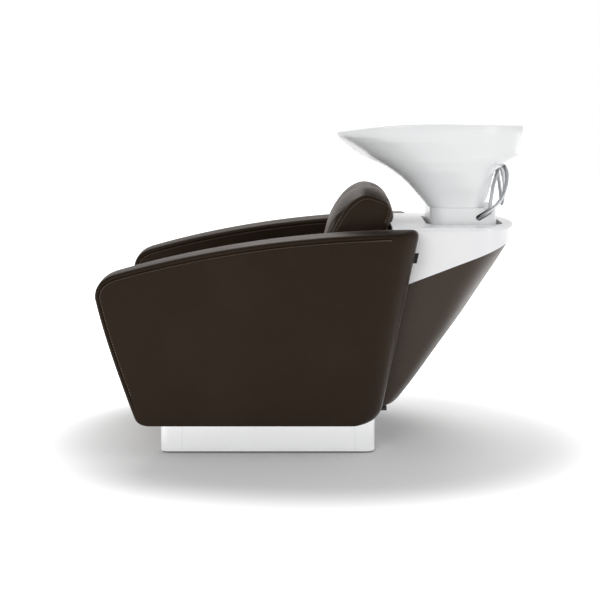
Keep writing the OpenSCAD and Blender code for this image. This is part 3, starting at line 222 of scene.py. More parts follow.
# %% [markdown]
# ## Leather
#
# Salon leather has a fine pebbled grain, and a paler tone where it is rubbed. A picture of leather
# could be wrapped round each cushion, but every cushion would need a good unwrap. A cell texture gives
# pebbles of one size with creases between them, and slow noise gives folds and rubbed patches. Both
# follow the object's own coordinates, so no piece needs an unwrap.

# %% Leather group
def leather_surface():
    """Pebbles and folds, painted shade in the creases between the pebbles, and paler rubbed patches."""
    group, given, result = new_group(
        "leather_surface",
        {"Colour": (0.05, 0.036, 0.028), "Grain Size": 900.0, "Grain Depth": 0.3, "Wear": 0.25})
    where = object_coordinates(group)
    pebbles = add_node(group, "TexVoronoi", {"feature": "DISTANCE_TO_EDGE"}, Vector=where,
                       Scale=given["Grain Size"]).outputs["Distance"]
    folds = maths(group, "MULTIPLY", clouds(group, where, 46.0, 5.0, Roughness=0.62), 2.2)
    rubbed = clouds(group, where, 5.0, 3.0)
    pale = mixed(group, given["Wear"], given["Colour"], (0.20, 0.15, 0.12, 1))
    colour = mixed(group, remap(group, rubbed, 0.45, 0.75), given["Colour"], pale)
    # Painted shade: the creases between the pebbles are darkened as if shadowed.
    painted_crease_shade = mixed(group, 0.35, colour, (0.012, 0.008, 0.006, 1))
    colour = mixed(group, remap(group, pebbles, 0.0, 0.05), painted_crease_shade, colour)
    roughness = remap(group, rubbed, 0.3, 0.7, 0.34, 0.46)
    height = maths(group, "ADD", remap(group, pebbles, 0.0, 0.18), folds)
    return close_group(group, result, colour, roughness, height, given["Grain Depth"], 0.00035)


GROUPS = {"leather": leather_surface()}

# %% [markdown]
# ## Glaze, paint and plastic
#
# Fired glaze, gloss paint and moulded plastic look even, yet their tone and gloss waver slightly. One
# plain colour would look like a drawing. They differ only in colour, gloss and how far the surface
# ripples, so one group of slow noise serves them all.

# %% Smooth skin group
def smooth_skin():
    """Slow unevenness of a hard skin."""
    group, given, result = new_group(
        "smooth_skin",
        {"Colour": (0.8, 0.8, 0.8), "Shade": (0.7, 0.7, 0.7), "Size": 3.0, "Ripple": 0.05,
         "Gloss From": 0.06, "Gloss To": 0.12})
    where = object_coordinates(group)
    slow = clouds(group, where, given["Size"], 3.0)
    specks = maths(group, "MULTIPLY", clouds(group, where, 700.0, 1.0), 0.15)
    height = maths(group, "ADD", clouds(group, where, 60.0, 2.0), specks)
    colour = mixed(group, remap(group, slow, 0.4, 0.7), given["Colour"], given["Shade"])
    roughness = remap(group, slow, 0.3, 0.7, given["Gloss From"], given["Gloss To"])
    return close_group(group, result, colour, roughness, height, given["Ripple"], 0.0006)


GROUPS["skin"] = smooth_skin()

# %% [markdown]
# ## Polished metal
#
# A polishing wheel leaves fine lines on steel, and hands leave smears. A shader that stretches its
# highlights could show the lines, but it needs a direction on every piece. Noise that is drawn out
# along one axis gives the lines themselves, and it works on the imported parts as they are.

# %% Polished lines group
def polished_lines():
    """Fine lines drawn out along one axis, with faint smears."""
    group, given, result = new_group(
        "polished_lines",
        {"Colour": (0.7, 0.7, 0.7), "Along X": 4.0, "Along Y": 4.0, "Along Z": 900.0, "Depth": 0.04,
         "Gloss From": 0.12, "Gloss To": 0.24})
    where = object_coordinates(group)
    stretch = add_node(group, "CombineXYZ", X=given["Along X"], Y=given["Along Y"], Z=given["Along Z"])
    drawn = add_node(group, "VectorMath", {"operation": "MULTIPLY"}, i0=where, i1=stretch.outputs[0])
    lines = clouds(group, drawn.outputs[0], 1.0, 4.0)
    smears = clouds(group, where, 9.0, 4.0, Roughness=0.6)
    lit = add_node(group, "VectorMath", {"operation": "SCALE"}, i0=given["Colour"],
                   Scale=remap(group, lines, 0.0, 1.0, 0.94, 1.04))
    roughness = remap(group, smears, 0.35, 0.7, given["Gloss From"], given["Gloss To"])
    return close_group(group, result, lit.outputs[0], roughness, lines, given["Depth"], 0.0002)


GROUPS["lines"] = polished_lines()

# %% [markdown]
# ## Plywood
#
# The hidden boards are bare plywood, with long pale grain on their faces and dark glue lines where the
# plies show. Boards could be built ply by ply. They hardly show, so stretched noise for the grain and
# faint bands for the glue are enough.

# %% Plywood group
def plywood_grain():
    """Long pale grain with dark streaks and faint glue lines."""
    group, given, result = new_group("plywood_grain", {"Colour": (0.52, 0.36, 0.20), "Depth": 0.2})
    where = object_coordinates(group)
    along = add_node(group, "VectorMath", {"operation": "MULTIPLY"}, i0=where, i1=(5.0, 60.0, 60.0))
    grain = clouds(group, along.outputs[0], 1.0, 6.0, Distortion=0.6)
    plies = add_node(group, "TexWave", {"bands_direction": "DIAGONAL"}, Vector=where, Scale=120.0,
                     Distortion=1.5).outputs["Fac"]
    dark = mixed(group, 0.6, given["Colour"], (0.16, 0.08, 0.035, 1))
    colour = mixed(group, remap(group, grain, 0.35, 0.7), given["Colour"], dark)
    colour = mixed(group, maths(group, "MULTIPLY", plies, 0.18), colour, dark)
    roughness = remap(group, grain, 0.0, 1.0, 0.55, 0.8)
    return close_group(group, result, colour, roughness, grain, given["Depth"], 0.0004)


GROUPS["plywood"] = plywood_grain()

# %% [markdown]
# ## Materials
#
# Each finish on the unit is one of the four groups with its own values. Every material could be wired
# by hand in the editor, where two metals soon differ by accident. Here each family has one small
# function, so its members differ only in what their own lines say.

# %% Helpers for materials
def make_material(name, group, settings, **shader):
    """A material with one group feeding a Principled shader, whose plain values are set on it."""
    material = bpy.data.materials.new(name)
    material.use_nodes = True
    tree = material.node_tree
    tree.nodes.clear()
    surface = tree.nodes.new("ShaderNodeGroup")
    surface.node_tree = GROUPS[group]
    for key, value in settings.items():
        surface.inputs[key].default_value = (*value, 1) if isinstance(value, tuple) else value
    principled = add_node(tree, "BsdfPrincipled", **shader)
    for label, target in (("Colour", "Base Color"), ("Roughness", "Roughness"), ("Normal", "Normal")):
        tree.links.new(surface.outputs[label], principled.inputs[target])
    tree.links.new(principled.outputs[0], tree.nodes.new("ShaderNodeOutputMaterial").inputs["Surface"])
    return material


def hide(name, colour, wear, grain=900.0, depth=0.3, **shader):
    """Leather, cloth or thread with its own grain."""
    return make_material(name, "leather", {"Colour": colour, "Wear": wear, "Grain Size": grain,
                                           "Grain Depth": depth}, **shader)


def hard(name, colour, shade, gloss_from, gloss_to, ripple=0.05, **shader):
    """A hard smooth skin of two near tones."""
    return make_material(name, "skin", {"Colour": colour, "Shade": shade, "Gloss From": gloss_from,
                                        "Gloss To": gloss_to, "Ripple": ripple}, **shader)


def metal(name, colour, gloss_from=0.12, gloss_to=0.24, along=(4.0, 4.0, 900.0), depth=0.04):
    """A metal with polishing lines, closest together along the axis with the highest number."""
    return make_material(name, "lines", {"Colour": colour, "Gloss From": gloss_from,
                                         "Gloss To": gloss_to, "Along X": along[0], "Along Y": along[1],
                                         "Along Z": along[2], "Depth": depth}, Metallic=1.0)


# %% Leather, thread and white skins
LEATHER = hide("brown_leather", (0.0088, 0.0048, 0.0024), 0.03,
               Specular_IOR_Level=0.22, Specular_Tint=(1.0, 0.76, 0.58, 1.0),
               Sheen_Weight=0.35, Sheen_Roughness=0.2, Sheen_Tint=(1.0, 0.84, 0.76, 1.0))
KEEL_LEATHER = hide("keel_leather", (0.027, 0.0185, 0.0135), 0.05,
                    Specular_IOR_Level=0.42, Specular_Tint=(1.0, 0.88, 0.78, 1.0))
TAG_CLOTH = hide("woven_tag", (0.014, 0.012, 0.011), 0.1, 2200.0, 0.5, Specular_IOR_Level=0.2)
THREAD = hide("waxed_thread", (0.27, 0.205, 0.16), 0.3, 2600.0, 0.2, Specular_IOR_Level=0.3)
GLAZE = hard("white_glaze", (0.84, 0.85, 0.85), (0.80, 0.81, 0.82), 0.20, 0.27,
             Specular_IOR_Level=0.34, Coat_Weight=0.15, Coat_Roughness=0.16)
CONSOLE = hard("white_gloss_console", (0.84, 0.84, 0.85), (0.80, 0.80, 0.82), 0.14, 0.22,
               Coat_Weight=0.5, Coat_Roughness=0.06)

# %% Metals, plastics and wood
STEEL = metal("polished_plinth_steel", (0.92, 0.925, 0.93))
CHROME = metal("polished_chrome", (0.84, 0.85, 0.86), 0.03, 0.08, (4.0, 4.0, 200.0), 0.01)
ZINC = metal("zinc_plate", (0.52, 0.53, 0.55), 0.25, 0.42, (4.0, 4.0, 300.0), 0.1)
BRASS = metal("plain_brass", (0.62, 0.44, 0.18), 0.2, 0.36, (4.0, 4.0, 260.0), 0.08)
BRAID = metal("steel_braid", (0.55, 0.56, 0.58), 0.32, 0.5, (900.0, 900.0, 900.0), 0.3)
DARK_STEEL = hard("dark_powder_coat", (0.022, 0.023, 0.025), (0.03, 0.031, 0.033), 0.42, 0.55, 0.4)
RUBBER = hard("black_rubber", (0.012, 0.012, 0.012), (0.02, 0.02, 0.02), 0.6, 0.75, 0.3)
WHITE_PLASTIC = hard("white_pipe_plastic", (0.72, 0.72, 0.70), (0.62, 0.62, 0.60), 0.3, 0.42)
RED_PLASTIC = hard("red_handle_plastic", (0.42, 0.02, 0.015), (0.30, 0.015, 0.01), 0.2, 0.35)
BLUE_PLASTIC = hard("blue_handle_plastic", (0.015, 0.07, 0.36), (0.01, 0.05, 0.26), 0.2, 0.35)
PLYWOOD = make_material("bare_plywood", "plywood", {})

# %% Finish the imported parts
by_slot = {"leather": LEATHER, "tag": RUBBER, "ceramic": GLAZE, "console_white": CONSOLE,
           "polished_steel": STEEL, "dark_steel": DARK_STEEL, "fixings": ZINC, "chrome": CHROME,
           "brass": BRASS, "plywood": PLYWOOD, "rubber": RUBBER, "white_plastic": WHITE_PLASTIC,
           "hose": BRAID, "red_plastic": RED_PLASTIC, "blue_plastic": BLUE_PLASTIC}
for entry in frame["record"]["subparts"]:
    mesh = nodes[entry["node"]].data
    mesh.materials.clear()
    mesh.materials.append(by_slot[entry["material_slot"]])

# %% [markdown]
# ## Outlines
#
# From the side, an upholsterer's frame is a board cut along a few bends, and the padding follows it.
# Such an outline could be traced with a curve object. Short functions are used here, because the packed
# parts were drawn from the same numbers, and what is made from them fits. Lengths in these helpers are
# millimetres, and a mesh gets metres.

# %% Rear edge and back board
RAKE = math.tan(math.radians(11.75))
DECK = 675  # height of the console's deck, and of the arms' crest


def rear_at(z):
    """Where the arms' raked rear edge is at a height."""
    return 296 - (DECK - z) * RAKE


def board_at(z):
    """Where the back board's front is at a height."""
    return rear_at(z) - 94


print("rear edge at", round(rear_at(100)), "mm low and", round(rear_at(DECK)), "mm high")

# %% Bends and even spacing
def bend(a, b, c, steps=16):
    """Points along a curve from a towards c that leans to b."""
    a, b, c = Vector(a), Vector(b), Vector(c)
    return [(1 - t) ** 2 * a + 2 * t * (1 - t) * b + t * t * c for t in (k / steps for k in range(steps))]


def distances(points):
    """How far along the line through them each point is."""
    sums = [0.0]
    for a, b in zip(points, points[1:]):
        sums.append(sums[-1] + (b - a).length)
    return sums


def places_at(points, sums, targets):
    """The places on the line at rising distances along it."""
    out, k = [], 0
    for target in targets:
        while sums[k + 1] < target:
            k += 1
        out.append(points[k].lerp(points[k + 1], (target - sums[k]) / (sums[k + 1] - sums[k])))
    return out


def even(points, count):
    """The same closed outline with its points at even distances."""
    closed = [*points, points[0]]
    sums = distances(closed)
    return places_at(closed, sums, [sums[-1] * i / count for i in range(count)])


def outward(points):
    """Unit normals of a closed outline that runs anticlockwise in X and Z."""
    ways = [points[(i + 1) % len(points)] - points[i - 1] for i in range(len(points))]
    return [Vector((way[1], -way[0])).normalized() for way in ways]


# %% [markdown]
# ## Skins
#
# Leather, glaze and moulded plastic are all thin skins over a rounded form. A box could be rounded with
# a subdivision modifier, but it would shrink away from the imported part. So each skin is a grid that is
# laid over rings of points, welded along its seam, and closed at its ends.

# %% Helpers for skins
def piece_from(bm, name, material):
    """Turns a bmesh into a linked object."""
    mesh = bpy.data.meshes.new(name)
    bm.to_mesh(mesh)
    bm.free()
    mesh.materials.append(material)
    mesh.shade_smooth()
    piece = bpy.data.objects.new(name, mesh)
    scene.collection.objects.link(piece)
    return piece


def skin(name, rings, material, caps=True, round_way=False):
    """A skin through rings of points in millimetres. round_way joins the last ring to the first."""
    bm = bmesh.new()
    bm.loops.layers.uv.new("UVMap")
    rows = [[*ring, ring[0]] for ring in rings]
    rows = [*rows, rows[0]] if round_way else rows
    bmesh.ops.create_grid(bm, x_segments=len(rows[0]) - 1, y_segments=len(rows) - 1, size=1.0,
                          calc_uvs=True)
    for vert, point in zip(bm.verts, [point for row in rows for point in row]):
        vert.co = Vector(point) * 0.001
    bmesh.ops.remove_doubles(bm, verts=bm.verts, dist=1e-6)
    if caps:
        rims = [edge for edge in bm.edges if edge.is_boundary]
        filled = bmesh.ops.holes_fill(bm, edges=rims, sides=0)["faces"]
        bmesh.ops.poke(bm, faces=filled)
    bmesh.ops.recalc_face_normals(bm, faces=bm.faces)
    return piece_from(bm, name, material)


def dress(piece, body, slot, *replaced):
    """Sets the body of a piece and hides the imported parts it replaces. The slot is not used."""
    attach(piece, body)
    if replaced:
        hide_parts(*replaced)
    print(piece.name, "on", body, "with", len(piece.data.polygons), "faces")
    return piece


# %% Helper for stitches
STITCH_PITCH, STITCH_LONG, STITCH_THICK = 8.4, 5.6, 0.55


def stitch_row(name, marks):
    """Small raised threads. Each mark is a place, a direction and a normal, in millimetres."""
    bm = bmesh.new()
    for place, way, up in marks:
        way = way.normalized()
        side = up.cross(way).normalized()
        turn = Matrix((way, side, way.cross(side))).transposed().to_4x4()
        size = Matrix.Diagonal((STITCH_LONG / 2000, STITCH_THICK / 1000, STITCH_THICK / 1000, 1))
        bmesh.ops.create_uvsphere(bm, u_segments=6, v_segments=4, radius=1.0,
                                  matrix=Matrix.Translation(place * 0.001) @ turn @ size)
    return dress(piece_from(bm, name, THREAD), "chair", "leather")


# %% [markdown]
# ## Arms
#
# Each arm is a padded slab with one curved outline. Its cover is sewn from two faces and a band, so a
# seam runs along the top and front just inside the rounded edge, with stitches beside it. The rear end
# is rounded in plan. A bevelled slab would have the round edge but no seam. Here rings follow the
# outline from the middle of one face, over the edge, to the middle of the other, and a few rings near
# the edge dip to make the seam.

# %% Outline of an arm
ARM_FOOT, ARM_TALL = 100.3, 574.7
ARM_CENTRE = Vector((-150, 385))


def arm_outline():
    """An arm from the side, from the front of its foot round its rear, crest, brow and toe."""
    toe, heel = (-541, 127.3), (rear_at(160.3), 160.3)
    shoulder, crest, brow, knee = (rear_at(650), 650), (268, DECK), (-594, 555), (-650, 485)
    middle = ((heel[0] + shoulder[0]) / 2, (heel[1] + shoulder[1]) / 2)
    foot_front, foot_rear = (-495, ARM_FOOT), (118, ARM_FOOT)
    return (bend(foot_front, (-188, ARM_FOOT), foot_rear, 30) + bend(foot_rear, (178, ARM_FOOT), heel)
            + bend(heel, middle, shoulder, 30) + bend(shoulder, (rear_at(DECK), DECK), crest)
            + bend(crest, (-185, 672), brow, 50) + bend(brow, (-652, 535), knee)
            + bend(knee, (-622, 349.7), toe, 24) + bend(toe, (-532, ARM_FOOT), foot_front))


ARM = even(arm_outline(), 420)
ARM_OUT = outward(ARM)
print("arm outline of", len(ARM), "points")

# %% Places on an arm
ARM_MIDDLE, ARM_HALF = 300, 50  # where an arm's middle is from the unit's, and half its thickness
NOSE, NOSE_LONG = 80, 200  # how far its rear corners are drawn in, and over what length
CROWN = 10  # how far its top falls from the middle to the edges


def arm_place(i, inset, v, s, lift=0.0, inward=0.0):
    """A point of an arm: inset from the outline, at v across it, lifted outward or drawn to the middle."""
    q = ARM[i] - ARM_OUT[i] * inset
    q = q.lerp(ARM_CENTRE, inward)
    nose = NOSE * (1 - math.sqrt(1 - min(1.0, v * v)))
    shift = nose * max(0.0, 1 - max(0.0, rear_at(q[1]) - q[0]) / NOSE_LONG) ** 2
    sink = CROWN * v * v * max(0.0, (q[1] - ARM_FOOT) / ARM_TALL)
    across = s * ARM_MIDDLE + ARM_HALF * v + (lift if v > 0 else -lift)
    return Vector((q[0] - shift, across, q[1] - sink))


def arm_weight(q):
    """How strongly the seam shows: fully along the top and front, and not at the rear or bottom."""
    low = min(1.0, max(0.0, (q[1] - 128) / 60))
    rear = min(1.0, max(0.0, (rear_at(q[1]) - q[0] - 2) / 16))
    return low * rear


# %% Rings of an arm
# A row of SEAM is an inset, a lift and a share of the way to the middle of the face.
EDGE = 8.0
ACROSS = (0.0, 0.35, 1.3, 2.8, 4.8, 6.8, 8.0, 12, 20, 32)
SEAM = ((9.2, 0.0, 0), (10.2, -0.5, 0), (10.9, -1.7, 0), (11.6, -2.6, 0), (12.3, -1.8, 0), (13.2, -0.4, 0),
        (13.2, 0.2, 0.005), (13.2, 0.5, 0.014), (13.2, 0.8, 0.03), (13.2, 1.0, 0.06), (13.2, 1.15, 0.12),
        (13.2, 1.2, 0.28), (13.2, 1.2, 0.45), (13.2, 1.2, 0.7), (13.2, 1.2, 0.9))
WAVE, WAVE_SIZE = 1.2, 0.006


def face_place(i, inset, lift, inward, v_sign, s):
    """A point of a face. A seam row dips, and the outer face swells and waves, but not near its rear."""
    here = arm_place(i, inset, v_sign, s, 0, inward)
    if lift < 0:
        return arm_place(i, inset, v_sign, s, lift * arm_weight(ARM[i]), inward)
    if v_sign != s:
        return here
    wave = WAVE * inward * noise.noise(Vector((here[0] * WAVE_SIZE, s * 3 + v_sign, here[2] * WAVE_SIZE)))
    far = min(1.0, max(0.0, (rear_at(here[2]) - 90 - here[0]) / 160))
    return arm_place(i, inset, v_sign, s, (lift + wave) * far * far * (3 - 2 * far), inward)


def edge_in(d, r):
    """How far an edge of radius r is drawn in, at d from its end."""
    return r - math.sqrt(max(0, r * r - (r - d) ** 2)) if d < r else 0.0


def half_rings(v_sign, s):
    """Rings from the middle of one face over the padded edge to the middle of the band."""
    face = [[face_place(i, *row, v_sign, s) for i in range(len(ARM))] for row in SEAM]
    band = [[arm_place(i, edge_in(d, EDGE), v_sign * (1 - d / ARM_HALF), s) for i in range(len(ARM))]
            for d in ACROSS]
    return face[::-1] + band


def arm_rings(s):
    """All rings of an arm, from its left face to its right one."""
    middle = [arm_place(i, -0.6, 0.0, s) for i in range(len(ARM))]
    return half_rings(-1, s) + [middle] + half_rings(1, s)[::-1]


# %% Upholster the arms
STITCH_INSET = 16.2


def arm_stitches(s):
    """Marks along the seam on both faces of an arm."""
    count = int(sum((a - b).length for a, b in zip(ARM, ARM[1:])) / STITCH_PITCH)
    marks = []
    for k in range(count):
        i = int(len(ARM) * k / count)
        if arm_weight(ARM[i]) < 0.5 or ARM[i][1] < 190:
            continue
        j = (i + 1) % len(ARM)
        t = len(ARM) * k / count - i
        for v_sign in (-1, 1):
            lift = 0.9 if v_sign == s else 0.25
            a, b = (arm_place(n, STITCH_INSET, v_sign, s, lift) for n in (i, j))
            way = arm_place(j, STITCH_INSET, v_sign, s) - arm_place(i, STITCH_INSET, v_sign, s)
            marks.append((a.lerp(b, t), way, Vector((0, v_sign, 0))))
    return marks


for side, s in (("left", -1), ("right", 1)):
    arm = skin(side + "_arm_leather", arm_rings(s), LEATHER)
    dress(arm, "chair", "leather", side + "_arm_pad")
    stitch_row(side + "_arm_stitches", arm_stitches(s))

# %% [markdown]
# ## Cushions
#
# A cushion is foam that is pressed into a cover, so it swells between its seams. It could be sculpted
# by hand. A cloth simulation with pressure inside bulges it as real filling does, and each point is
# then held near its start, so that the cushion keeps clear of the boards. The seams are pressed in
# afterwards and sewn.

# %% Swell a cushion
START_IN = 2.0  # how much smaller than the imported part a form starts


def bake(piece):
    """Applies a piece's modifiers to its mesh."""
    done = bpy.data.meshes.new_from_object(piece.evaluated_get(bpy.context.evaluated_depsgraph_get()))
    piece.modifiers.clear()
    piece.data = done
    return piece


def swell(piece, voxel, pressure, cap):
    """Swells a closed form as a filled cushion and keeps each point near where it began."""
    remesh = piece.modifiers.new("even", "REMESH")
    remesh.mode, remesh.voxel_size = "VOXEL", voxel * 0.001
    bake(piece)
    start = [vert.co.copy() for vert in piece.data.vertices]
    cloth = piece.modifiers.new("fill", "CLOTH")
    cloth.settings.use_pressure = True
    cloth.settings.uniform_pressure_force = pressure
    cloth.settings.effector_weights.gravity = 0
    cloth.settings.quality = 4
    cloth.settings.tension_stiffness = 60
    cloth.settings.compression_stiffness = 60
    cloth.collision_settings.use_collision = False
    for frame_number in range(1, 21):
        scene.frame_set(frame_number)
    bake(piece)
    for vert, first in zip(piece.data.vertices, start):
        move = vert.co - first
        reach = cap(first * 1000) * 0.001
        if move.length > reach:
            vert.co = first + move * (reach / move.length)
    scene.frame_set(1)
    piece.data.shade_smooth()
    finer_faces = piece.modifiers.new("smooth", "SUBSURF")
    finer_faces.levels = finer_faces.render_levels = 1
    return piece

# %% Sew a cushion
def in_quarters(loop):
    """A closed row of points with three more between each two."""
    return [a.lerp(b, t / 4) for a, b in zip(loop, loop[1:] + loop[:1]) for t in range(4)]


def sew(piece, curve, width=6.5, depth=2.4):
    """Presses a groove into a baked skin along a curve of points in millimetres."""
    tree = KDTree(len(curve))
    for index, point in enumerate(curve):
        tree.insert(point * 0.001, index)
    tree.balance()
    for vert in piece.data.vertices:
        distance = tree.find(vert.co)[2] * 1000
        if distance < width:
            vert.co -= vert.normal * depth * 0.001 * (1 - (distance / width) ** 2) ** 2


def marks_on(piece, curve, lift=0.1):
    """Stitch marks on a skin along a curve near it."""
    marks, run = [], 0.0
    for a, b in zip(curve, curve[1:]):
        run += (b - a).length
        if run >= STITCH_PITCH:
            run -= STITCH_PITCH
            found, near, normal, _ = piece.closest_point_on_mesh(b * 0.001)
            if found:
                marks.append((near * 1000 + normal * lift, b - a, normal))
    return marks


# %% [markdown]
# ## Back cushion and neck roll
#
# The back cushion leans on its board, and rolls forward at the top to carry the shoulders under the
# basin. A roll and a flat cushion could be two pieces, but the photograph shows one cover over both. So
# one outline goes from side to side, its corners are drawn in toward the ends, and it is swelled.

# %% Outline of the back
BACK_POINTS = 200
BACK_FOOT = 315.3
INNER_HALF = 249.7  # half of the room between the arms


def back_outline():
    """The cushion from the side, from its foot up its rear, over the roll and down its front."""
    nape, heel = (board_at(656) - 0.3, 656), (board_at(325.3) - 0.3, 325.3)
    rear, crest, chin, chest, lap = (225, 726), (142, 800), (50, 719), (24, 662), (-38, 420)
    middle = ((heel[0] + nape[0]) / 2, (heel[1] + nape[1]) / 2)
    return (bend((-42, BACK_FOOT), (30, BACK_FOOT), (heel[0] - 8, BACK_FOOT), 12)
            + bend((heel[0] - 8, BACK_FOOT), (heel[0] - 2, BACK_FOOT), heel, 4)
            + bend(heel, middle, nape, 30)
            + bend(nape, (218, 690), rear) + bend(rear, (231, 782), crest) + bend(crest, (92, 790), chin)
            + bend(chin, (32, 690), chest) + bend(chest, (-7, 541), lap, 24)
            + bend(lap, (-66, 325.3), (-42, BACK_FOOT)))


BACK = even(back_outline(), BACK_POINTS)
for _ in range(6):
    BACK = [(BACK[k - 1] + 2 * BACK[k] + BACK[(k + 1) % BACK_POINTS]) / 4 for k in range(BACK_POINTS)]
BACK_OUT = outward(BACK)


def back_place(i, v, inset=0.0, y_in=0.0):
    """A point of the cushion: at v from one side, -1, to the other, 1, and inset from its surface."""
    side = (max(0.0, abs(v) - 0.5) / 0.5) ** 2
    d = edge_in((1 - abs(v)) * INNER_HALF, 7) + 22 * side * (0.12 + 0.88 * max(0.0, BACK_OUT[i][1]))
    q = BACK[i] - BACK_OUT[i] * (d + inset)
    return Vector((q[0], v * INNER_HALF - math.copysign(y_in, v), q[1]))


print("back outline from", round(min(q[1] for q in BACK)), "to", round(max(q[1] for q in BACK)), "mm high")

# %% Upholster the back
STEPS = (1, 0.998, 0.992, 0.982, 0.97, 0.95, 0.92, 0.88, 0.82, 0.75, 0.66, 0.56, 0.44, 0.3, 0.15)
back_steps = [-v for v in STEPS] + [0] + list(STEPS[::-1])
back = skin("back_leather",
            [[back_place(i, v, START_IN, START_IN if abs(v) > 0.97 else 0) for i in range(BACK_POINTS)]
             for v in back_steps], LEATHER)


def back_cap(place):
    """The cushion may not swell into the board, the seat or the arms, and swells most at the front."""
    tight = place[0] > board_at(place[2]) - 12 and place[2] < 690
    return 1.5 if tight or place[2] < 330 or abs(place[1]) > 246 else 7.0


def back_row(v, inset):
    """A closed row of points round the cushion."""
    return in_quarters([back_place(i, v, inset) for i in range(BACK_POINTS)])


bake(swell(back, 6.8, 3.0, back_cap))
for v_sign in (-1, 1):
    sew(back, back_row(v_sign, 0.6))
back.data.shade_smooth()
dress(back, "chair", "leather", "back_cushion")
marks = []
for v_sign in (-1, 1):
    for v, inset in ((v_sign * 0.978, -1.5), (v_sign, 7.0)):
        row = [q for q in back_row(v, inset) if q[2] > 560 and not (q[0] > 180 and q[2] < 690)]
        marks += marks_on(back, row)
stitch_row("back_stitches", marks)

# %% [markdown]
# ## Seat
#
# The seat is a boxed cushion: a top and a side band, sewn along the upper edge, with a second seam
# lower down. A beaded edge could be added as a thin tube. Most of it hides between the arms, so pressed
# seams are enough. The form is a stack of rounded rectangles that is swelled a little less at the
# bottom, the sides and the rear.

# %% Outline of the seat
SEAT_LONG, SEAT_CORNER, SEAT_MIDDLE = 532, 30, -334
SEAT_FOOT, SEAT_SIDE, SEAT_EDGE, SEAT_CROWN = 315.3, 112, 427.3, 20
# A row of SEAT_SIDES is a share of the height and an inset. A row of SEAT_TOPS is a size and a rise.
SEAT_SIDES = ((0, 14), (0.03, 8), (0.08, 4), (0.2, 1), (0.35, 0.2), (0.5, 0), (0.65, 0.6), (0.78, 2),
              (0.87, 4.5), (0.94, 8.5), (1, 16))
SEAT_TOPS = ((0.93, 0.22), (0.86, 0.42), (0.77, 0.61), (0.68, 0.75), (0.56, 0.87), (0.45, 0.94),
             (0.32, 0.98), (0.2, 1), (0.08, 1))


def round_ring(length, width, radius):
    """A rectangle with round corners as X-Y points round its middle."""
    x, y = length / 2 - radius, width / 2 - radius
    points = []
    for corner_x, corner_y, start in ((x, -y, -90), (x, y, 0), (-x, y, 90), (-x, -y, 180)):
        for k in range(9):
            a = math.radians(start + 90 * k / 8)
            points.append(Vector((corner_x + radius * math.cos(a), corner_y + radius * math.sin(a))))
    return even(points, 100)


def seat_ring(inset, z, share=1.0):
    """A ring of the seat at a height, inset from its outline or scaled to a share of it."""
    ring = round_ring(SEAT_LONG - 2 * inset, 2 * INNER_HALF - 2 * inset, SEAT_CORNER)
    return [Vector((SEAT_MIDDLE + share * q[0], share * q[1], z)) for q in ring]


print("seat", SEAT_LONG, "mm long, crown at", SEAT_EDGE + SEAT_CROWN, "mm")

# %% Upholster the seat
side_rows = [seat_ring(START_IN + inset, SEAT_FOOT + START_IN + rise * (SEAT_SIDE - START_IN))
             for rise, inset in SEAT_SIDES]
top_rows = [seat_ring(16 + START_IN, SEAT_EDGE + SEAT_CROWN * rise - START_IN, share)
            for share, rise in SEAT_TOPS]
seat = skin("seat_leather", side_rows + top_rows, LEATHER)


def seat_cap(place):
    """The seat may not swell into the deck, the arms or the back cushion."""
    return 1.5 if place[2] < 322 or abs(place[1]) > 245 or place[0] > -72 else 8.0


bake(swell(seat, 6, 3.0, seat_cap))
for inset, z in ((9.5, 419.5), (1.0, 345.0)):
    sew(seat, in_quarters(seat_ring(inset, z)))
seat.data.shade_smooth()
dress(seat, "chair", "leather", "seat_cushion")
stitch_row("seat_stitches", marks_on(seat, in_quarters(seat_ring(17.0, 430.0))))

# %% [markdown]
# ## Front panel
#
# Below the seat, a thin upholstered board closes the front. It leans with the frame and bellies out a
# little. It could be swelled as a cushion is, but its padding is thin. Rings that run parallel to its
# face, with smaller ones toward its middle, give the belly directly.

# %% Upholster the front panel
low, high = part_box("front_panel")
panel_low, panel_high = low[2] * 1000 + 0.3, high[2] * 1000 - 0.3
tall = panel_high - panel_low
front_at = [high[0] * 1000 - 30, low[0] * 1000]
PANEL_WIDE, PANEL_CORNER = 499.2, 14
PANEL = ((5, 29.5), (1, 27), (0.3, 20), (0, 12), (1.5, 6), (4.5, 2.6), (9, 0.6), (16, -0.6), (26, -1.4))
BELLY = 2.6


def panel_ring(inset, depth, share=1.0):
    """A ring parallel to the panel's face: inset from its outline, at a depth behind the face."""
    ring = round_ring(tall - 2 * inset, PANEL_WIDE - 2 * inset, max(3.0, PANEL_CORNER - inset))
    points = []
    for q in ring:
        up = q[0] * share / tall + 0.5
        points.append(Vector((front_at[0] + (front_at[1] - front_at[0]) * up + depth, q[1] * share,
                              panel_low + tall * up)))
    return points


panel = skin("front_panel_leather", [panel_ring(i, d) for i, d in PANEL]
             + [panel_ring(26, -1.4 - BELLY * (1 - s * s), s) for s in (0.85, 0.65, 0.45, 0.25, 0.1)],
             LEATHER)
dress(panel, "chair", "leather", "front_panel")

# %% [markdown]
# ## Tag
#
# A small folded tag of woven tape is sewn into the rear edge of the near arm. A flat plate would do
# from afar. Rings round a folded strip, each moved a little by a sine, give it a fold and a soft wave.

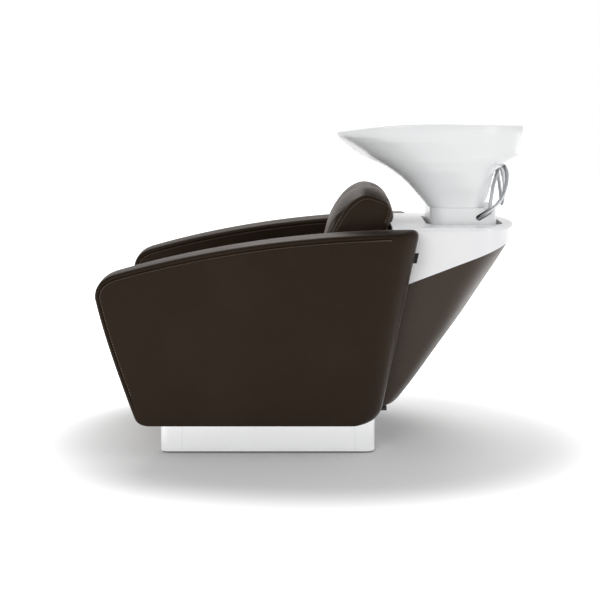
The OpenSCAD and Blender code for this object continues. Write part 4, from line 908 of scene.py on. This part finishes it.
# %% Fold the tag
low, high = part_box("sewn_tag")
tag_low, tag_high = Vector(low) * 1000, Vector(high) * 1000
tag_y = (tag_low[1] + tag_high[1]) / 2
TAPE = ((0, 0.5), (3, 0.5), (7, 0.62), (10.5, 0.75), (11.6, 0.5))
tape_ring = [(x, -y) for x, y in TAPE] + [(12, 0)] + list(TAPE[::-1])
tag_rows = []
for k in range(13):
    z = tag_low[2] + (tag_high[2] - tag_low[2]) * k / 12
    wave = 0.5 * math.sin(k * 0.7)
    tag_rows.append([Vector((rear_at(z) - 0.6 + along, tag_y + across + wave * along / 12, z))
                     for along, across in tape_ring])
tag = skin("folded_tag", tag_rows, TAG_CLOTH)
dress(tag, "chair", "tag", "sewn_tag")

# %% [markdown]
# ## Basin
#
# The bowl is cast in one piece of ceramic: a foot, flaring walls, a rim that dips in front for the neck,
# and a ledge at the rear for the taps. A round bowl would be spun on an axis. This one is long and has
# square shoulders, so each ring is a rounded oval of its own, and the rows between are smoothed. A
# hollow under the ledge takes the hoses. It is cut with a boolean, as are the holes in the ledge.

# %% Rows of the basin
# Front end, rear end, widest place, half width, squareness, height, and how far the row dips in front.
OUTER = ((0.497, .792, .64, .600, 4.0, 0.004, 0), (.475, .802, .63, .612, 3.8, 15.1, 0),
         (.441, .815, .62, .645, 3.5, 38, 0), (.403, .830, .605, .700, 3.2, 62.9, 0),
         (.353, .846, .58, .765, 2.9, 92, 0), (.302, .872, .555, .820, 2.7, 114.9, 0),
         (.264, .906, .54, .846, 2.6, 129, .04), (.228, .943, .53, .870, 2.5, 140.9, .15),
         (.187, .972, .52, .890, 2.45, 153.9, .30), (.148, .977, .51, .910, 2.4, 166.9, .50),
         (.075, .983, .50, .950, 2.4, 192.9, .80), (.041, .987, .49, .967, 2.4, 204.9, .95),
         (.009, .991, .49, .980, 2.4, 217.9, 1))
INNER = ((.100, .953, .49, .888, 2.4, 204.9, .80), (.157, .943, .50, .856, 2.4, 179.9, .50),
         (.190, .937, .51, .832, 2.4, 167, .30), (.197, .778, .51, .820, 2.6, 165, .25),
         (.227, .773, .52, .818, 2.75, 155, .15), (.280, .766, .535, .798, 2.8, 134.9, 0),
         (.343, .760, .555, .760, 2.7, 110, 0), (.407, .755, .58, .696, 2.5, 85, 0),
         (.460, .750, .605, .592, 2.4, 65, 0), (.503, .743, .63, .480, 2.3, 52, 0),
         (.547, .736, .645, .340, 2.2, 45, 0))
# A row of RIM is a share of the rim's width and a depth below its top.
RIM = ((0, 7), (.03, 4.2), (.08, 2), (.16, .7), (.28, 0), (.45, -.2), (.62, 0), (.78, 1.2), (.88, 3),
       (.96, 6), (1, 10))
BASIN_FRONT, BASIN_LONG, BASIN_HALF, RIM_WIDE = 38, 600, 250, 26
BASIN_FOOT, RIM_TOP = 725, 985
DIP_WIDE, DIP_BACK, DIP_DOWN = 70, 68, 46


def rim_at(x):
    """The rim's height, which falls from its highest place more to the front than to the rear."""
    return RIM_TOP - (28 if x < 338 else 7) * ((x - 338) / 300) ** 2


def squared(value, power):
    """A sine or cosine raised to a power with its sign kept, which squares off an oval."""
    return math.copysign(abs(value) ** power, value)


def basin_ring(front, rear, wide, half, square, height, neck):
    """One ring. A height above nought stands on the foot, and one below it hangs from the rim."""
    ring = []
    for k in range(160):
        a = 2 * math.pi * k / 160
        c, s = math.cos(a), math.sin(a)
        reach = rear - wide if c > 0 else wide - front
        x = wide + reach * squared(c, 2 / square)
        y = half * squared(s, 2 / square)
        z = BASIN_FOOT + height if height > 0 else rim_at(BASIN_FRONT + x) + height
        pull = neck * math.exp(-(y / DIP_WIDE) ** 4) if c < 0 else 0
        ring.append(Vector((BASIN_FRONT + x + pull * DIP_BACK, y, z - pull * DIP_DOWN)))
    return ring


def smoothly(a, b, c, d, u):
    """A smooth curve's value between b and c, at u from 0 to 1, with a before them and d after."""
    return 0.5 * (2 * b + (c - a) * u + (2 * a - 5 * b + 4 * c - d) * u * u
                  + (3 * b - a - 3 * c + d) * u ** 3)


def finer(rows, parts):
    """More rows between the given ones, on a smooth curve through their values."""
    out, last = [], len(rows) - 1
    for k in range(last * parts + 1):
        i = min(int(k / parts), last - 1)
        near = (rows[max(i - 1, 0)], rows[i], rows[i + 1], rows[min(i + 2, last)])
        out.append([smoothly(*values, k / parts - i) for values in zip(*near)])
    return out


def sized(row):
    """A row of shares as millimetres."""
    front, rear, wide, half, square, height, neck = row
    return [front * BASIN_LONG, rear * BASIN_LONG, wide * BASIN_LONG, half * BASIN_HALF, square,
            max(0.003, height), neck]


rim_rows = [[share * RIM_WIDE, BASIN_LONG - share * RIM_WIDE, 292.2, BASIN_HALF - share * RIM_WIDE, 2.4,
             -0.001 - max(0.0, depth), 1] for share, depth in RIM]
inner_rows = finer(INNER[:3], 3)[:-1] + finer(INNER[2:5], 4)[:-1] + finer(INNER[4:], 3)
basin_rows = [sized(row) for row in finer(OUTER, 4)] + rim_rows + [sized(row) for row in inner_rows]
drain = 430 - BASIN_FRONT
basin_rows += [[drain - r, drain + r, drain, r, 2, height, 0]
               for r, height in ((40, 43), (34, 43), (30, 42.9), (30, 0.004))]
print("basin of", len(basin_rows), "rings")

# %% Cast and carve the basin
def carve_out(piece, *cutters):
    """Takes the cutters out of a piece and shades it smooth again."""
    for cutter in cutters:
        carve = piece.modifiers.new("carve", "BOOLEAN")
        carve.operation, carve.object, carve.solver = "DIFFERENCE", cutter, "EXACT"
        bake(piece)
        bpy.data.objects.remove(cutter)
    piece.data.shade_smooth()
    return piece


LEDGE_HOLES = ((-66, 17.3), (48, 13.3))  # the mixer's and the shower guide's: a place across, a radius
basin = skin("glazed_basin", [basin_ring(*row) for row in basin_rows], GLAZE, caps=False, round_way=True)
turns = [2 * math.pi * k / 96 for k in range(96)]
hollow = [[Vector((max(345 + 256 * squared(math.cos(a), 0.83), 532), 175 * squared(math.sin(a), 0.83), z))
           for a in turns] for z in (785, 882)]
holes = bmesh.new()
for y, radius in LEDGE_HOLES:
    bmesh.ops.create_cone(holes, cap_ends=True, segments=64, radius1=radius / 1000, radius2=radius / 1000,
                          depth=0.04, matrix=Matrix.Translation((0.562, y / 1000, 0.895)))
carve_out(basin, skin("hollow_cutter", hollow, GLAZE), piece_from(holes, "hole_cutter", GLAZE))
dress(basin, "basin", "ceramic", "basin_bowl")

# %% [markdown]
# ## Console
#
# The console is a white moulded shell with a round end, a deck on top and a slot that the pillar tips
# in. Its lower edge slopes, and the padded keel carries on below. A surface with a Solidify modifier
# would be quick, but its wall would end square to itself and leave a gap along the slope. A solid of
# rings, hollowed with booleans, has one even wall and a lower edge that meets the keel.

# %% Helpers for the console and the keel
SLOPE_ANGLE = math.radians(20.9)
SLOPE = math.tan(SLOPE_ANGLE)
JOINT_LOW = 504  # the joint's height at the arms' rear edge
END_START, END_LONG = 472, 138  # where the round end starts, and how long it is
MOUTH_RIM = 44.7  # how wide a rim is left round the opening inside


def joint_at(x, lift=0.0):
    """Height of the sloping joint, moved square to itself by lift."""
    return JOINT_LOW + (x - rear_at(JOINT_LOW)) * SLOPE + lift / math.cos(SLOPE_ANGLE)


def console_ring(inset, height, front=None):
    """The console's outline drawn in by inset. height gives the level at each distance from the front."""
    x0 = 220.0
    for _ in range(6):
        x0 = board_at(height(x0)) + 16 if front is None else front
    half = INNER_HALF - inset
    across = [Vector((x0 + (END_START - x0) * k / 20, -half, 0)) for k in range(20)]
    round_end = [Vector((END_START + (END_LONG - inset) * math.cos(a), half * math.sin(a), 0))
                 for a in (math.pi * (k / 64 - 0.5) for k in range(65))]
    back = [Vector((p[0], half, 0)) for p in reversed(across)]
    return [Vector((p[0], p[1], height(p[0]))) for p in across + round_end + back]


def sharpen(piece):
    """Keeps the cut edges of a carved piece crisp."""
    piece.data.set_sharp_from_angle(angle=math.radians(35))
    return piece


def prism(name, outline, low, high, material):
    """An upright block on an outline of (x, y) places."""
    return skin(name, [[Vector((p[0], p[1], z)) for p in outline] for z in (low, high)], material)


print("joint from", round(joint_at(board_at(JOINT_LOW))), "to", round(joint_at(END_START + END_LONG)), "mm")

# %% Mould the console
WALL = 6
EDGE_ROUND = 10
EDGE_LOW = DECK - EDGE_ROUND
console_rows = [console_ring(0, lambda x, t=t: joint_at(x) * (1 - t) + EDGE_LOW * t)
                for t in (0, .02, .08, .2, .35, .5, .65, .8, .9, .96, 1)]
console_rows += [console_ring(EDGE_ROUND * (1 - math.cos(a)),
                              lambda x, z=EDGE_LOW + EDGE_ROUND * math.sin(a): z)
                 for a in (math.radians(90 * k / 8) for k in range(1, 9))]
console = skin("moulded_console", console_rows, CONSOLE)
inside = skin("inside_cutter", [console_ring(WALL, lambda x: joint_at(x, 5), 150),
                                console_ring(WALL, lambda x: 667, 150)], CONSOLE)
mouth_outline = console_ring(MOUTH_RIM, lambda x: 0, 0)
mouth = prism("mouth_cutter", mouth_outline, 300, 660, CONSOLE)
slot_outline = [Vector((447.5 + p[0], p[1])) for p in round_ring(237, 322, 55.5)]
sharpen(carve_out(console, inside, mouth, prism("slot_cutter", slot_outline, 655, 690, CONSOLE)))
dress(console, "chair", "console_white", "console_shell")

# %% [markdown]
# ## Keel
#
# Under the console hangs a padded keel, a leather-covered shell that narrows downward like a boat's
# bow. Its cover is stretched tight, so it needs no swelling. Rows on a smooth curve give the bow, and
# booleans cut its top along the console's joint, make room inside for the column and the pipes, and
# open it to the base plate and the console.

# %% Rows of the keel
# A row is a height above the keel's foot and how far back it reaches.
KEEL = ((0, 242), (3, 251), (10, 259), (71, 309), (165, 378), (260, 448), (355, 512), (450, 575),
        (510, 609))
KEEL_FOOT, KEEL_HALF, KEEL_WALL = 135, 246, 12


def keel_ring(row, inset=0.0, lift=0.0, over=0.0):
    """The keel's outline at a row of KEEL, drawn in and raised for its inside."""
    height, reach = row
    z = KEEL_FOOT + height
    depth = 60 * (1 + height / 450)
    half = KEEL_HALF - inset
    front = board_at(z) + 16 - over
    side = [Vector((front + (reach - depth - front) * k / 12, -half, z + lift)) for k in range(12)]
    bow = [Vector((reach - depth + (depth - inset) * math.cos(a), half * math.sin(a), z + lift))
           for a in (math.pi * (k / 48 - 0.5) for k in range(49))]
    return side + bow + [Vector((p[0], -p[1], p[2])) for p in reversed(side)]


def spline(points, t):
    """A point on the smooth curve through the points, at t from 0 to their number less one."""
    k = min(int(t), len(points) - 2)
    b, c = Vector(points[k]), Vector(points[k + 1])
    a = 2 * b - c if k == 0 else Vector(points[k - 1])
    d = 2 * c - b if k == len(points) - 2 else Vector(points[k + 2])
    return smoothly(a, b, c, d, t - k)


def keel_between(parts):
    """Rows on a smooth curve through KEEL above its rounded bottom edge."""
    upper = [Vector((h, r, 0)) for h, r in KEEL[2:]]
    curve = [spline(upper, k / parts) for k in range((len(upper) - 1) * parts + 1)]
    return [*KEEL[:2], *((p[0], p[1]) for p in curve)]


def slope_block(name, lift):
    """A block above the sloping joint."""
    low = [Vector((x, y, joint_at(x, lift))) for x, y in ((-50, -400), (900, -400), (900, 400), (-50, 400))]
    return skin(name, [low, [Vector((p[0], p[1], 1300)) for p in low]], KEEL_LEATHER)


keel_rows = [keel_ring(row) for row in keel_between(5)]
print("keel of", len(keel_rows), "rings")

# %% Pad the keel
keel = skin("padded_keel", keel_rows, KEEL_LEATHER)
room = skin("room_cutter", [keel_ring(row, KEEL_WALL, KEEL_WALL, 30) for row in KEEL], KEEL_LEATHER)
room = sharpen(carve_out(room, slope_block("slope_cutter", -KEEL_WALL)))
hole_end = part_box("column_base_plate")[1][0] * 1000 + 1
mouth_half = INNER_HALF - MOUTH_RIM
base_outline = [(0, -mouth_half), (hole_end, -mouth_half), (hole_end, mouth_half), (0, mouth_half)]
base_hole = prism("base_cutter", base_outline, 120, 150, KEEL_LEATHER)
top_hole = skin("top_cutter", [[Vector((p[0], p[1], joint_at(p[0], lift))) for p in mouth_outline]
                               for lift in (-14, 20)], KEEL_LEATHER)
sharpen(carve_out(keel, slope_block("slope_cutter", 0), room, base_hole, top_hole))
dress(keel, "chair", "leather", "keel_shell")

# %% [markdown]
# ## Hoses
#
# Hot and cold water come up inside the pillar, leave it through one slot on the near side, and end
# under the mixer. The shower's own hose hangs in a loop under the ledge, and a wide ribbed hose drains
# to the trap. A curve object with a bevel would give smooth tubes. Rings are laid along the routes here,
# so that every few millimetres one can be drawn in for the braid or the ribs. Each hose takes the place
# of its imported part.

# %% Routes of the hoses
HOT = ((144.4, -130, 195), (144.4, -130, 215), (182, -131, 290), (238, -132, 385), (308, -133, 468),
       (374, -133, 545), (430, -133, 612), (462, -134, 660), (485, -137, 689), (496, -149, 700),
       (509, -164, 710), (531, -172, 730), (553, -166, 757), (567, -149, 787), (575, -126, 812),
       (577, -102, 834), (573, -83, 850), (570.23, -70.75, 858), (570.23, -70.75, 866))
COLD = ((144.4, -90, 195), (144.4, -90, 215), (178, -96, 290), (232, -104, 385), (304, -112, 468),
        (372, -115, 542), (428, -116, 606), (452, -117, 645), (474, -118, 678), (492, -124, 697),
        (504, -133, 705), (514, -143, 712), (521, -152, 721), (521, -156, 741), (525, -152, 765),
        (530, -143, 790), (538, -128, 812), (547, -108, 832), (552, -88, 847), (553.77, -70.75, 858),
        (553.77, -70.75, 866))
LOOP = ((562, -56.5, 866), (562, -56.5, 854), (570, -57, 835), (577, -56, 800), (578, -48, 765),
        (578, -32, 738), (578, -9, 728), (578, 14, 738), (578, 32, 765), (575, 44, 800), (568, 48, 835),
        (562, 48, 854), (562, 48, 866))
DRAIN = ((430, 0, 695), (430, 0, 675), (425, 0, 640), (405, 4, 580), (368, 18, 510), (326, 42, 440),
         (284, 70, 370), (246, 92, 310), (223.4, 100, 280), (223.4, 100, 260))
BRAIDED = (6, BRAID, 4.0, 0.5, 14, "hose")  # radius, finish, pitch, ridge, sides and slot
RIBBED = (18, WHITE_PLASTIC, 9.0, 1.8, 28, "white_plastic")

# %% Shape of a hose
def hose(name, route, radius, material, pitch, ridge, sides):
    """A tube along the smooth curve through a route, with a ridge every pitch. Gives its path too."""
    fine = [spline(route, (len(route) - 1) * k / 900) for k in range(901)]
    sums = distances(fine)
    long = sums[-1]
    count = round(long / pitch) * 4
    path = places_at(fine, sums, [min(long * i / count, long - 1e-6) for i in range(count + 1)])
    rings, side = [], Vector((1, 0, 0))
    for i, mid in enumerate(path):
        way = (path[min(i + 1, count)] - path[max(i - 1, 0)]).normalized()
        side = (side - way * side.dot(way)).normalized()
        other = way.cross(side)
        reach = radius - ridge * (0, 0.45, 1, 0.45)[i % 4]
        rings.append([mid + reach * (math.cos(a) * side + math.sin(a) * other)
                      for a in (2 * math.pi * j / sides for j in range(sides))])
    print(name, "length", round(long / 1000, 4))
    return skin(name, rings, material), [point * 0.001 for point in path], long / 1000


# %% Run the hoses
# The last two numbers are the points of the route where the bend between the bodies starts and ends.
for name, route, (radius, *make, slot_name), part, bodies, start, end in (
        ("hot_hose_braid", HOT, BRAIDED, "hot_hose", ("chair", "basin"), 5, 7),
        ("cold_hose_braid", COLD, BRAIDED, "cold_hose", ("chair", "basin"), 5, 8),
        ("shower_hose_braid", LOOP, BRAIDED, "shower_hose", ("basin", "shower"), 6, 9),
        ("ribbed_drain", DRAIN, RIBBED, "drain_hose", ("chair", "basin"), 4, 1)):
    piece, path, long = hose(name, route, radius, *make)
    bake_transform(piece)
    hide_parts(part)

# %% [markdown]
# ## Floor
#
# The ground in the photograph is white paper with a soft grey shadow. A plain white floor turns grey
# away from the lamps, and more light would wash out the object. So the floor is nearly white, and round
# the unit it adds light of its own, but only to what the camera and mirrors see. In an oval under the
# unit the camera sees no glow, which paints a grey shadow there on top of the lamps' own shadow.

# %% Lay the floor
paper = bpy.data.materials.new("white_paper")
paper.use_nodes = True
tree = paper.node_tree
shader = tree.nodes["Principled BSDF"]
shader.inputs["Base Color"].default_value = (0.80, 0.80, 0.80, 1)
shader.inputs["Roughness"].default_value = 0.6
shader.inputs["Specular IOR Level"].default_value = 0.2
shader.inputs["Emission Color"].default_value = (1, 1, 1, 1)
# Painted shadow: in this oval under the unit the floor gets no glow, so it shows grey.
painted_shadow_oval = add_node(tree, "VectorMath", {"operation": "MULTIPLY_ADD"}, i0=object_coordinates(tree),
                i1=(1.0, 1.45, 0), i2=(0.0, 0.16, 0))
away = add_node(tree, "VectorMath", {"operation": "LENGTH"}, i0=painted_shadow_oval.outputs[0])
glow = remap(tree, away.outputs["Value"], 0.66, 1.30, 0.0, 1.0, "SMOOTHSTEP")
rays = add_node(tree, "LightPath").outputs
seen = maths(tree, "MULTIPLY", rays["Is Camera Ray"], glow)
mirrored = maths(tree, "MULTIPLY", rays["Is Glossy Ray"], maths(tree, "MAXIMUM", glow, 0.30))
tree.links.new(maths(tree, "ADD", seen, mirrored), shader.inputs["Emission Strength"])
bm = bmesh.new()
bmesh.ops.create_grid(bm, x_segments=1, y_segments=1, size=14)
floor = piece_from(bm, "paper_floor", paper)
print("floor glows from 0.66 m out, and fully from 1.30 m")
